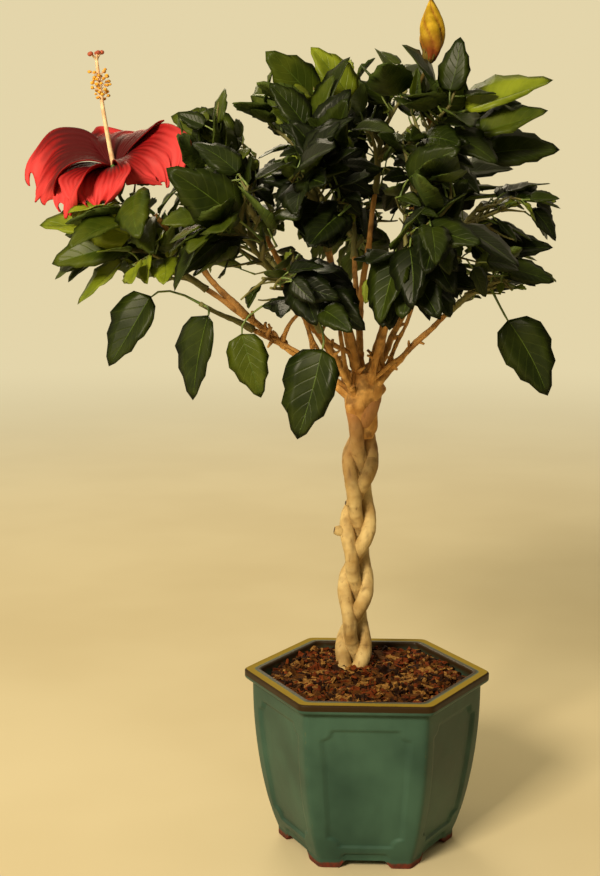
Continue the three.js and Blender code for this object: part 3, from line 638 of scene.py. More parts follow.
@dataclass(frozen=True)
class Petal(Finish):
    """A petal, deep in the throat and bright at the fringe, with fine veins that fan out to the tip.

    Attributes:
        throat: tone at the root: the flower's dark eye, darkened further as painted shade.
        fringe: tone at the tip: the petal's paler edge, brightened further as painted light.
    """

    throat: str = "460308"
    fringe: str = "e04648"

    def pleats(self, graph: Graph) -> Value:
        """Fine veins: waves across the petal."""
        wave = graph.mark("across") * 46.0 + 3.0 * graph.noise(60.0)
        return 0.5 + 0.5 * wave.math("SINE", wave)

    def colour(self, graph: Graph) -> Value:
        """Throat, then the petal's own red, then the fringe, streaked along the veins.

        Args:
            graph: the material's graph.

        Returns:
            The colour.
        """
        along = graph.mark("along") + 0.12 * (self.pleats(graph) - 0.5)
        # The dark throat is partly painted shade, and the bright fringe partly painted light.
        body = graph.mix(tone(self.throat), super().colour(graph), graph.fade(along, 0.3, 0.6))
        edge = graph.mix(body, tone(self.fringe), 0.85 * graph.fade(along, 0.5, 0.85))
        return graph.mix(edge, tone(self.dark), 0.3 * self.pleats(graph) * graph.fade(along, 0.2, 0.6))

    def relief(self, graph: Graph) -> Value:
        """The veins stand out."""
        return self.pleats(graph)


@dataclass(frozen=True)
class Furled(Finish):
    """The bud's rolled petals by the mark "along": rusty at the foot, yellow above and brown at the tip."""

    base: str = "7c3e18"
    withered: str = "4a2c10"

    def colour(self, graph: Graph) -> Value:
        """Rusty foot, yellow middle, brown tip, and a rusty flush in the grooves.

        Args:
            graph: the material's graph.

        Returns:
            The colour.
        """
        along = graph.mark("along") + 0.3 * (graph.noise(120.0) - 0.5)
        ripe = graph.mix(tone(self.base), super().colour(graph), graph.fade(along, 0.1, 0.42))
        flushed = graph.mix(ripe, tone(self.base), 0.8 * graph.mark("groove"))
        return graph.mix(flushed, tone(self.withered), graph.fade(along, 0.76, 0.9))


@dataclass(frozen=True)
class Paper(Finish):
    """The pale floor, which fades into the light of the background with distance.

    Attributes:
        pale: second tone of the floor itself; the light tone is the background's.
        span: distances in metres between which it fades.
    """

    pale: str = "d3c6a6"
    span: Span = (0.5, 3.0)

    def paint(self, graph: Graph) -> bpy.types.Material:
        """A dull pale surface, mixed with plain light of the background's colour further off.

        Args:
            graph: the material's graph.

        Returns:
            The material.
        """
        grain = graph.mix(tone(self.dark), tone(self.pale), graph.fade(graph.noise(self.grain), 0.3, 0.7))
        dull = {"Base Color": grain, "Roughness": self.rough, "Specular IOR Level": self.shine}
        far = graph.node("VectorMath", {0: graph.place()}, "Value", operation="LENGTH")
        way = graph.node("VectorMath", {0: graph.place()}, operation="NORMALIZE")
        glow = graph.node("Emission", {"Color": graph.daylight(way, self.light), "Strength": 1.0})
        sockets = {0: graph.fade(far, *self.span), 1: graph.surface(dull), 2: glow}
        return graph.finish(graph.node("MixShader", sockets))


class Green(Enum):
    """The greens that are dealt to sprays of leaves, from dark to pale: painted shade inside the crown,
    painted light on the left and top, and chance choose among the first four; young leaves have their own.
    """

    NIGHT = Blade("leaf_night", "0b1203", "151d05", 60.0, 0.42, 0.14, ink=0.04)
    DEEP = Blade("leaf_deep", "182205", "283208", 60.0, 0.42, 0.14, ink=0.06)
    MID = Blade("leaf_mid", "2e3b09", "465010", 60.0, 0.42, 0.14, ink=0.1)
    # Palest tier: its own tone by chance, and painted light on the left and top.
    PALE_AND_LIT = Blade("leaf_pale_and_lit", "586510", "7e8a20", 60.0, 0.42, 0.14, ink=0.14)
    YOUNG = Blade("leaf_young", "4e5a12", "707c28", 60.0, 0.5, 0.14, ink=0.16)


class Part(Enum):
    """The other finishes of the plant and its pot."""

    GLAZE = Glaze("pot_glaze", "284138", "3c594c", 18.0, 0.42, 0.2, 0.05, shine=0.14)
    SOIL = Finish("soil_dark", "170b05", "2c1708", 300.0, 0.95, 0.8)
    CHIP_DARK = Finish("chip_dark", "180a04", "2c1508", 500.0, 0.9, 0.3, shine=0.1)
    CHIP_RED = Finish("chip_red", "4c1e09", "703412", 500.0, 0.9, 0.3, shine=0.1)
    CHIP_BROWN = Finish("chip_brown", "3c200a", "5c3814", 500.0, 0.9, 0.3, shine=0.1)
    CHIP_TAN = Finish("chip_tan", "6e4a20", "966e38", 500.0, 0.85, 0.3, shine=0.1)
    STEM = Bark(
        "bark_stem", "a3834e", "cbb27c", 60.0, 0.7, 0.25, shine=0.25, ripe="a37040", span=(0.25, 0.33)
    )
    BOUGH = Bark(
        "bark_bough", "aa783c", "d8a862", 120.0, 0.75, 0.3,
        shine=0.2, ripe="b4844a", span=(0.33, 0.4), stain=0.6,
    )
    CUT = Finish("cut_wood", "3a2a1e", "6b523a", 400.0, 0.9, 0.4)
    TWIG = Bark("bark_twig", "5f5a30", "8a8048", 150.0, 0.7, 0.15, ripe="6d6a38")
    STALK = Finish("leaf_stalk", "4d6428", "7d8d44", 120.0, 0.5, 0.1)
    UNDER = Blade("leaf_under", "36461a", "505f26", 60.0, 0.6, 0.3, ink=0.25)
    RIB = Finish("leaf_rib", "36480f", "4f6220", 120.0, 0.5, 0.1, shine=0.2)
    PETAL = Petal("petal_inner", "76080a", "9c1012", 90.0, 0.6, 0.12, shine=0.15)
    PETAL_BACK = Petal(
        "petal_outer", "8e0c0c", "b61818", 90.0, 0.6, 0.12, shine=0.15, throat="780a0a", fringe="ce3232"
    )
    COLUMN = Finish("bloom_column", "dcae84", "ecd2a8", 250.0, 0.5, 0.1)
    ANTHER = Finish("bloom_anther", "cf8a1c", "ecb840", 600.0, 0.8, 0.3)
    STIGMA = Finish("bloom_stigma", "8e3a22", "b4583a", 600.0, 0.7, 0.2)
    SEPAL = Finish("bloom_sepal", "35551f", "5a7a34", 150.0, 0.5, 0.15)
    BRACT = Finish("bud_bract", "4a3c14", "6c5a22", 150.0, 0.7, 0.15, shine=0.2)
    BUD = Furled("bud_yellow", "9c7c12", "c8a42a", 150.0, 0.7, 0.15, shine=0.15)
    PAPER = Paper("floor_paper", "cbbd9c", "f6e6b8", 3.0, 0.9, shine=0.1)


# A leaf's finishes, which its faces count from 0, and the numbers of those that are asked for by name.
LEAF_FINISHES = (*Green, Part.UNDER, Part.RIB)
YOUNG, UNDER, RIB = (LEAF_FINISHES.index(finish) for finish in (Green.YOUNG, Part.UNDER, Part.RIB))


def add_object(name: str, data: bpy.types.ID) -> bpy.types.Object:
    """Puts an object with this mesh, light or camera into the scene.

    Args:
        name: its name.
        data: what it shows.

    Returns:
        The object.
    """
    made = bpy.data.objects.new(name, data)
    bpy.context.scene.collection.objects.link(made)
    return made


def piece(
    name: str, skin: Skin, finishes: Sequence[Enum], nodes: Sequence[str], flat: bool = False
) -> None:
    """Makes a piece of the object from a skin, on the one body of the part.

    Args:
        name: name of the piece.
        skin: its mesh.
        finishes: its finishes, which the skin's tints count from 0.
        nodes: the CAD nodes that it stands for.
        flat: whether its faces are shaded flat.
    """
    mesh = bpy.data.meshes.new(name)
    corners = [row if row[3] >= 0 else row[:3] for row in skin.faces.tolist()]
    mesh.from_pydata((skin.points * MM).tolist(), [], corners)
    for finish in finishes:
        mesh.materials.append(finish.value.material())
    mesh.polygons.foreach_set("material_index", skin.tints.astype(np.int32))
    mesh.polygons.foreach_set("use_smooth", np.full(len(corners), not flat))
    for key, values in skin.marks.items():
        mesh.attributes.new(key, "FLOAT", "POINT").data.foreach_set("value", values.astype(np.float32))
    mesh.update()
    made = add_object(name, mesh)
    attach(made, "root")
    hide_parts(*nodes)
    log.info("%s: %d points, %d faces", name, len(skin.points), len(corners))


@dataclass
class Pot:
    """The six-sided glazed pot. Radii are measured to the corners."""

    height: float = 126.0
    rim_radius: float = 89.0
    rim_inner: float = 77.0
    rim_depth: float = 7.0
    rim_bevel: float = 1.6
    rim_margin: float = 2.2
    foot_radius: float = 64.5
    belly: tuple[Span, ...] = ((64.5, 6.0), (77.0, 34.0), (83.5, 80.0), (83.0, 119.0))
    wall: float = 7.0
    floor: float = 14.0
    core: float = 4.0
    panel: Span = (17.0, 106.0)
    panel_width: Span = (51.0, 61.0)
    panel_corner: float = 7.0
    panel_depth: float = 1.8
    arch_width: float = 36.0
    arch_height: float = 5.5
    arch_reach: float = 16.0
    bare_span: Span = (7.0, 2.5)
    corner_power: float = 60.0
    columns: int = 56
    under_rows: int = 14
    wall_rows: int = 110

    def hexagon(self, turn: Array) -> Array:
        """Radius of the rounded hexagon of corner radius 1 at each angle.

        It is cos 30 over the high-power mean of the cosines of the angles off the six sides' middles, so that
        the sides are straight and the corners slightly round.

        Args:
            turn: angles about the axis.

        Returns:
            One radius for each.
        """
        sides = np.radians(np.arange(-90, 270, 60))
        near = np.maximum(np.cos(turn[:, None] - sides), 0) ** self.corner_power
        return APOTHEM / near.sum(axis=1) ** (1 / self.corner_power)

    def bevel(self, radius: float, height: float, start: float, rows: int) -> Array:
        """A quarter round of the rim's section, by its middle and the angle in degrees that it starts at."""
        arc = np.radians(np.linspace(start, start + 90, rows))
        return np.array((radius, height)) + self.rim_bevel * np.stack((np.cos(arc), np.sin(arc)), axis=1)

    def profile(self) -> tuple[Array, Array]:
        """The section, as straight runs, quarter rounds and the wall's curve.

        Returns:
            Radii, then heights, from under the middle, up outside and down inside to the floor.
        """
        under = np.linspace((self.core, 0.0), (self.foot_radius - 0.8, 0.0), self.under_rows)
        heel = ((self.foot_radius - 0.2, 0.25), (self.foot_radius, 0.9))
        curve = Path(*(np.array((radius, 0.0, height)) for radius, height in self.belly))
        outer = curve.place(np.linspace(0, 1, self.wall_rows))[:, [0, 2]]
        bottom, top, flat = self.height - self.rim_depth, self.height, self.height - 0.15
        edge, margin = self.rim_radius, self.rim_margin
        rim = (
            self.bevel(edge - self.rim_bevel, bottom + self.rim_bevel, -90, 4),
            np.linspace((edge, bottom + margin), (edge, top - margin), 5),
            self.bevel(edge - self.rim_bevel, top - self.rim_bevel, 0, 5),
            np.linspace((edge - margin, flat), (self.rim_inner + 2.4, flat), 8),
            self.bevel(self.rim_inner + self.rim_bevel, top - self.rim_bevel, 90, 5),
        )
        inside = outer[::-6] - (self.wall, 0)
        inside = inside[(inside[:, 1] > self.floor) & (inside[:, 1] < bottom - 1)]
        section = np.concatenate((under, heel, outer, *rim, inside, ((self.core, self.floor),)))
        return section[:, 0], section[:, 1]

    def build(self) -> None:
        """Carries the section round the hexagon, sinks the panels and lifts the arches between the feet."""
        turn = around(6 * self.columns)
        radius, height = self.profile()
        # Degrees off the middle of the nearest side, the first of which faces the front.
        off = (np.degrees(turn) + 90 + 30) % 60 - 30
        across = radius[:, None] * (np.tan(np.radians(off)) * APOTHEM)
        level = np.broadcast_to(height[:, None], across.shape)
        is_outside = np.arange(len(radius)) < self.under_rows + 2 + self.wall_rows
        inset = self.sink(across, level) * is_outside[:, None]
        reach = (radius[:, None] - inset / APOTHEM) * self.hexagon(turn)
        level = level + self.arch(across, radius[:, None] * APOTHEM, level)
        marks = {
            "worn": self.wear(radius, height, off, inset),
            "bare": smooth(*self.bare_span, level),
            # The rim's dark band, and painted shade inside the rim.
            "seam": np.broadcast_to(self.seam(radius, height)[:, None], level.shape),
        }
        piece("glazed_pot", Skin.tube(polar(reach, turn, level), **marks), [Part.GLAZE], ["pot"])

    def sink(self, across: Array, level: Array) -> Array:
        """How far the wall is sunk: a smooth step at the panel's edge, with corners cut in quarter rounds.

        Args:
            across: how far each point is off the middle of its side.
            level: its height.

        Returns:
            One depth for each.
        """
        low, high = self.panel
        half = lerp(*self.panel_width, (level - low) / (high - low)) / 2
        inside = np.minimum(np.minimum(level - low, high - level), half - abs(across))
        for height, width in zip(self.panel, self.panel_width):
            round_off = np.hypot(abs(across) - width / 2, level - height) - self.panel_corner
            inside = np.minimum(inside, round_off)
        return self.panel_depth * smooth(-0.5, 0.7, inside)

    def arch(self, across: Array, reach: Array, level: Array) -> Array:
        """How far the underside is lifted: a flat-topped arch in each side's middle that fades inwards.

        Args:
            across: how far each point is off the middle of its side.
            reach: how far its side is from the axis.
            level: its height.

        Returns:
            One rise for each.
        """
        hump = smooth(self.arch_width / 2 + 1, self.arch_width / 2 - 5, abs(across))
        inner = self.foot_radius * APOTHEM - self.arch_reach
        near = smooth(inner - 3, inner + 1, reach) * smooth(14.0, 2.0, level)
        return self.arch_height * hump * near

    def wear(self, radius: Array, height: Array, off: Array, inset: Array) -> Array:
        """How thin the glaze is: on top of the rim, and a little along corners and panel edges.

        Args:
            radius: radius of each row of the section.
            height: height of each row.
            off: degrees of each column off the middle of its side.
            inset: how far each point is sunk.

        Returns:
            One mark for each row and column.
        """
        top = smooth(self.height - 1.2, self.height - 0.4, height)
        # The gold stops short of the inner edge of the rim's top, which is left to painted shade.
        top = top * smooth(self.rim_inner + 3.4, self.rim_inner + 5.6, radius)
        corner = 0.3 * smooth(28.2, 30.0, abs(off))
        step = 0.3 * np.exp(-(((inset - self.panel_depth / 2) / 0.4) ** 2))
        return np.maximum(top[:, None], np.maximum(corner, step))

    def seam(self, radius: Array, height: Array) -> Array:
        """How dark the glaze is: in a brown band round the top of the rim's face, and inside the rim as
        painted shade.

        Args:
            radius: radius of each row of the section.
            height: height of each row.

        Returns:
            One mark for each row.
        """
        low = self.height - self.rim_depth
        band = smooth(low + 1.8, low + 3.2, height)
        band = band * smooth(self.rim_radius - 1.4, self.rim_radius - 0.6, radius)
        # Painted shade: the inner part of the rim's top and the top of the inner wall.
        inner = smooth(low - 4, low, height) * smooth(self.rim_inner + 5.2, self.rim_inner + 2.6, radius)
        return np.maximum(band, 0.75 * inner)


@dataclass
class Soil:
    """The mound of bark chips in the pot."""

    edge: float = 119.5
    crest: float = 124.5
    radius: float = 75.0
    cover: float = 1.5
    depth: float = 22.0
    chips: int = 2700
    length: Span = (4.0, 12.0)
    breadth: Span = (0.18, 0.5)
    thick: Span = (0.9, 2.4)
    tilt: float = 0.35
    shares: tuple[float, ...] = (0.3, 0.27, 0.27, 0.16)
    seed: int = 11

    def level(self, across: Array) -> Array:
        """Height of the mound at distances from the middle: it falls with the square of the distance."""
        return self.crest - (self.crest - self.edge) * np.clip(across / self.radius, 0, 1.1) ** 2

    def build(self) -> None:
        """A dark mound under loose chips, which are dealt four tones."""
        turn = around(72)
        share = np.concatenate((np.linspace(0.03, 1, 16), [1.0, 0.03]))
        reach = share[::-1, None] * (Pot().hexagon(turn) * self.radius)
        base = polar(reach, turn, self.level(reach) - self.cover)
        base[..., 2] += 0.8 * lumps(base, 6.0, 3)
        base[:2, :, 2] = self.edge - self.depth
        finishes = [Part.SOIL, Part.CHIP_DARK, Part.CHIP_RED, Part.CHIP_BROWN, Part.CHIP_TAN]
        skin = Skin.joined([Skin.tube(base), self.scatter()])
        piece("bark_chip_soil", skin, finishes, ["soil"], True)

    def scatter(self) -> Skin:
        """The loose chips: boxes with their corners knocked about, lying every way on the mound.

        Returns:
            The chips as one skin.
        """
        draw = np.random.default_rng(self.seed)
        turn = draw.uniform(0, 2 * math.pi, self.chips)
        reach = np.sqrt(draw.uniform(0, 1, self.chips)) * Pot().hexagon(turn) * (self.radius - 2)
        place = polar(reach, turn, self.level(reach))
        place[:, 2] += draw.uniform(-1.8, 1.2, self.chips)
        length = draw.uniform(*self.length, self.chips)
        breadth = length * draw.uniform(*self.breadth, self.chips)
        size = np.stack((length, breadth, draw.uniform(*self.thick, self.chips)), axis=1)
        box = np.array(list(itertools.product((-0.5, 0.5), repeat=3)))
        corners = box * size[:, None] * draw.uniform(0.65, 1.1, (self.chips, 8, 3))
        along = unit(draw.normal(size=(self.chips, 3)) * (1, 1, self.tilt))
        across = unit(np.cross(UP + draw.normal(0, self.tilt, (self.chips, 3)), along))
        axes = np.stack((along, across, np.cross(along, across)), axis=1)
        points = place[:, None] + corners @ axes
        sides = ((0, 1, 3, 2), (4, 6, 7, 5), (0, 4, 5, 1), (2, 3, 7, 6), (0, 2, 6, 4), (1, 5, 7, 3))
        faces = (np.array(sides) + 8 * np.arange(self.chips)[:, None, None]).reshape(-1, 4)
        tints = draw.choice((1, 2, 3, 4), self.chips, p=self.shares)
        return Skin(points.reshape(-1, 3), faces, np.repeat(tints, len(sides)))


@dataclass
class Trunk:
    """The plait of three stems and the swollen head that they grow into."""

    foot: Point = (-10.0, 18.0, 124.5)
    pitch: float = 140.0
    swing: float = 8.2
    depth: float = 7.4
    pinch: float = 0.35
    quick: float = 1 / 3
    first_bulge: float = 277.0
    radius: float = 5.05
    flare: float = 0.12
    flare_height: float = 16.0
    sides: int = 24
    steps: int = 260
    stump_sides: int = 12
    # Of pruned shoots: the stem's number, then height, direction, radius and length.
    stumps: tuple[tuple[int, float, Point, float, float], ...] = (
        (0, 224.0, (-1.0, -0.15, 0.25), 3.4, 4.6),
        (2, 246.0, (-1.0, -0.4, 0.2), 2.2, 1.8),
    )
    head_span: Span = (293.0, 343.0)
    head_radii: Span = (8.2, 13.8)
    head_lumps: int = 4

    def centre(self, order: int, share: Array) -> Array:
        """Middle of one stem, which swings right and left as it falls, now in front and now behind.

        The swing is the cosine of a phase that runs faster on the crossing from right to left, drawn in
        between bulges by the squared sine of the height, and the depth is the sine of twice the phase.

        Args:
            order: 0, 1 or 2, each a third of the pitch further down.
            share: shares of the way from foot to head.

        Returns:
            One place for each share.
        """
        line = lerp(np.array(self.foot), HEAD, share[:, None])
        fall = (self.first_bulge - order * self.pitch / 3 - line[:, 2]) / self.pitch
        turn = fall - np.floor(fall)
        phase = np.where(turn < self.quick, turn / self.quick, 1 + (turn - self.quick) / (1 - self.quick))
        waist = np.sin(math.pi * 3 * (self.first_bulge - line[:, 2]) / self.pitch) ** 2
        line[:, 0] += self.swing * (1 - self.pinch * waist) * np.cos(math.pi * phase)
        line[:, 1] -= self.depth * np.sin(2 * math.pi * phase)
        return line

    def stem(self, order: int) -> Skin:
        """One stem with its root flare, ringed and ridged bark, and grooves marked where the bark is low.

        Args:
            order: number of the stem.

        Returns:
            The stem.
        """
        share = np.linspace(-0.03, 1, self.steps)
        line = self.centre(order, share)
        flare = self.flare * np.clip(1 - (line[:, 2] - self.foot[2]) / self.flare_height, 0, 1.3) ** 2
        radii = self.radius * (1 + flare + 0.05 * lumps(line + 40 * order, 17.0, 5))
        plain = rings(line, radii, self.sides)
        ridge = lumps(plain * (1, 1, 0.3), 2.6, 1 + order)
        nodes = np.sin(line[:, 2] * 0.42 + order) ** 12
        collars = nodes[:, None] * (1 + 0.5 * np.cos(around(self.sides) * 2))
        rough = 0.045 * ridge + 0.05 * lumps(plain, 6.0, 2) + 0.04 * collars
        groove = np.clip(-1.2 * ridge - 0.3, 0, 1)
        return Skin.tube(rings(line, radii[:, None] * (1 + rough), self.sides), 0, groove=groove)

    def stump(self, order: int, height: float, way: Point, radius: float, length: float) -> Skin:
        """The healed stump of a pruned shoot: a short peg with a swollen collar and a dark cut end.

        Args:
            order: number of the stem.
            height: where it leaves the stem.
            way: its direction.
            radius: its radius.
            length: how far it stands out.

        Returns:
            The stump, whose cut end has tint 1.
        """
        share = (height - self.foot[2]) / (HEAD[2] - self.foot[2])
        root = self.centre(order, np.array((share,)))[0]
        run = np.array((0.0, 0.5, 0.7, 0.85, 0.95, 1.0, 0.985))
        line = root + unit(np.array(way)) * (run * (self.radius + length))[:, None]
        radii = radius * np.array((1.2, 1.15, 1.2, 1.05, 0.95, 0.72, 0.5))
        plain = rings(line, radii, self.stump_sides)
        shape = rings(line, radii[:, None] * (1 + 0.12 * lumps(plain, 2.5, 9)), self.stump_sides)
        peg = Skin.tube(shape, 0, groove=np.clip(0.6 * lumps(shape, 2.0, 4), 0, 1))
        # The last ring of the wall and both end fans, of which the one at the root is hidden in the stem.
        peg.tints[-3 * self.stump_sides :] = 1
        return peg

    def crest(self) -> Skin:
        """The head: a cone that opens upwards and closes in a dome, fluted by the stems and lumpy.

        Returns:
            The head.
        """
        low, high = self.head_span
        share = np.linspace(0, 1, 64)[:, None]
        turn = around(60)
        height = lerp(low, high, share)
        radii = lerp(*self.head_radii, share**0.8) * (1 - 0.12 * smooth(0.12, 0.0, share))
        radii = radii + 0.9 * np.cos(3 * turn + 0.09 * (height - low)) * (1 - share)
        for k in range(self.head_lumps):
            at = (k + 0.5) / self.head_lumps
            side = math.pi / 2 + k * GOLDEN_TURN
            off = np.angle(np.exp(1j * (turn - side))) * 12
            up = height - lerp(low + 3, high - 2, lerp(0.2, 0.95, at))
            radii = radii + 3.6 * np.exp(-((off / 6.0) ** 2) - (up / 6.5) ** 2)
        dome = np.sqrt(np.clip(1 - np.clip((share - 0.84) / 0.16, 0, 0.995) ** 2, 0, 1))
        radii = radii * dome
        where = polar(radii, turn, height)
        ridge = lumps(where * (1, 1, 0.35), 3.2, 21)
        radii = radii * (1 + 0.06 * ridge + 0.09 * lumps(where, 7.0, 22))
        grid = polar(radii, turn, height) + HEAD * (1, 1, 0)
        return Skin.tube(grid, 0, groove=np.clip(-1.3 * ridge - 0.2, 0, 1))

    def build(self) -> None:
        """The three stems, each its own piece, and the head."""
        for order, name in enumerate(("stem_first", "stem_second", "stem_third")):
            skins = [self.stem(order), *(self.stump(*row) for row in self.stumps if row[0] == order)]
            piece("bark_" + name, Skin.joined(skins), [Part.STEM, Part.CUT], [name])
        piece("bark_trunk_head", self.crest(), [Part.BOUGH], ["trunk_head"])


@dataclass(frozen=True)
class Row:
    """A bough and the ball that its leaves keep to.

    Attributes:
        name: what its nodes are named after.
        at: where it leaves the head, or the bough that bears it, as a share of its height or length.
        middle: middle of the ball.
        reach: radius of the ball.
        girth: radius of the bough at its foot.
        arch: how far the bough rises on its way.
        hang: how far its leaves droop.
        bearer: the bough that bears it, or nothing for the head.
        entry: how far from the middle it ends, as a share of the reach.
        sway: how far it swings right on its way.
    """

    name: str
    at: float
    middle: Point
    reach: float
    girth: float
    arch: float = 0.0
    hang: float = 0.0
    bearer: str = ""
    entry: float = 0.5
    sway: float = 0.0


CROWN = (
    Row("left_tip", 0.2, (-146, -8, 425), 86, 3.4, 4, 0.3),
    Row("left_top", 0.6, (-92, 8, 468), 76, 3.1, -14, 0.1),
    Row("top_left", 0.9, (-42, 0, 490), 78.6, 3, -6, 0),
    Row("top_right", 0.85, (38, -6, 496), 81.5, 3.2, -10, 0),
    Row("right_low", 0.35, (70, -24, 404), 58, 2.6, 4, 0.6),
    Row("front_low", 0.15, (-46, -58, 402), 78, 2.4, 0, 0.8),
    Row("front", 0.7, (-36, -60, 462), 79, 2.6, 4, 0.4),
    Row("front_right", 0.5, (28, -64, 430), 80, 2.6, 2, 0.5),
    Row("back_left", 0.4, (-84, 78, 432), 80, 2.8, 2, 0.4),
    Row("back", 0.65, (-14, 92, 452), 80, 2.8, 2, 0.3),
    Row("back_right", 0.4, (52, 78, 428), 80, 2.8, 4, 0.4),
    Row("right", 0.4, (70, 2, 448), 62, 2.4, 0, 0.2, "top_right"),
    Row("back_top", 0.5, (8, 52, 500), 72, 2.4, 0, 0.1, "back"),
    Row("front_left", 0.4, (-80, -56, 436), 78, 2.5, 0, 0.3, "left_top"),
    Row("left_low", 0.5, (-102, -36, 386), 68, 2.3, 0, 0.9, "left_tip"),
)
BLOSSOM = (
    Row("bloom", 0.75, (-180, -14, 488), 66, 2.2, 0, 0, "left_tip", 0.76),
    Row("bud", 0.7, (40, -4, 576), 40, 2, 0, 0, "top_right", 1.2, 36),
)
# Leaves that stand clear of the crown: the mass, the end of the stalk and the tip of the blade.
LONE_LEAVES = (
    ("left_tip", (-167, -12, 446), (-226, -14, 445)),
    ("left_tip", (-163, -24, 432), (-216, -26, 419)),
    ("left_tip", (-168, -20, 420), (-200, -24, 391)),
    ("left_low", (-147, -34, 397), (-177, -38, 350)),
    ("left_low", (-106, -56, 386), (-118, -60, 330)),
    ("front_low", (-84, -58, 374), (-71, -62, 332)),
    ("front_low", (-30, -75, 366), (-47, -82, 308)),
    ("left_top", (-95, 22, 503), (-140, 28, 519)),
    ("top_left", (-14, -5, 528), (-40, -8, 562)),
    ("top_right", (63, -10, 520), (120, -14, 541)),
    ("top_right", (72, -22, 505), (116, -26, 520)),
    ("top_right", (78, -5, 491), (127, -8, 495)),
    ("right", (86, 8, 426), (126, 6, 429)),
    ("right_low", (92, -38, 382), (120, -42, 332)),
)
# The eye that the tree is meant for, and the gaps that it sees right through the crown: where the line of
# sight meets the plane of X and Z, and its radius.
EYE = np.array((0.0, -1033.0, 469.0))
GAPS = (
    (15, 443, 9), (-80, 420, 10), (-58, 432, 6), (-30, 463, 5), (3, 495, 6), (20, 513, 6),
    (37, 511, 6), (71, 451, 6), (66, 420, 4), (-62, 501, 4), (-144, 469, 6), (101, 448, 7),
    (-120, 531, 6), (-87, 542, 8), (-62, 401, 5),
)
GAP_DEPTH = 160.0
# More gaps, which only the leaves of the fine shoots keep free.
CLEARINGS = (
    (100, 441, 12), (-120, 525, 9), (95, 363, 8), (86, 523, 8), (-85, 539, 9), (-62, 401, 6),
    (-181, 454, 7), (70, 541, 8), (84, 504, 6), (-129, 501, 8), (-41, 546, 7), (115, 409, 7),
    (-92, 386, 5), (-201, 417, 6), (-186, 414, 7), (-81, 430, 5), (-205, 436, 5), (75, 454, 4),
    (-159, 462, 5), (-112, 403, 6), (-120, 415, 5), (-70, 408, 5), (50, 542, 5), (85, 393, 4),
    (71, 479, 4),
)


@dataclass(frozen=True)
class Skirt:
    """The dish that the crown is open below: it rises outwards from the trunk and then runs level."""

    trunk: float = 366.0
    slope: float = 0.33
    level: float = 404.0
    depth_share: float = 0.3

    def clears(self, points: Array) -> Array:
        """Whether each point is above the dish, which counts distance to the front and back for less."""
        away = np.linalg.norm((points[:, :2] - HEAD[:2]) * (1, self.depth_share), axis=1)
        return points[:, 2] > np.minimum(self.trunk + self.slope * away, self.level)


# Thin stems that cross the fork: the bough that each leaves and where, and the bough that it joins and where.
SIDE_STEMS = (
    ("left_tip", 0.3, "left_top", 0.72),
    ("left_low", 0.1, "front_left", 0.35),
    ("front_low", 0.2, "front", 0.7),
    ("top_left", 0.05, "front", 0.85),
    ("front", 0.05, "top_left", 0.6),
    ("front_right", 0.1, "right_low", 0.8),
    ("right_low", 0.12, "right", 0.7),
    ("top_right", 0.08, "front_right", 0.75),
    ("back_left", 0.15, "left_top", 0.5),
    ("back", 0.1, "back_right", 0.6),
    ("back_right", 0.15, "top_right", 0.5),
    ("left_tip", 0.1, "front_left", 0.5),
    ("front_low", 0.1, "left_low", 0.3),
    ("top_left", 0.15, "left_top", 0.45),
    ("right_low", 0.05, "front_right", 0.5),
    ("front_right", 0.2, "top_right", 0.35),
    ("right_low", 0.25, "top_right", 0.3),
)


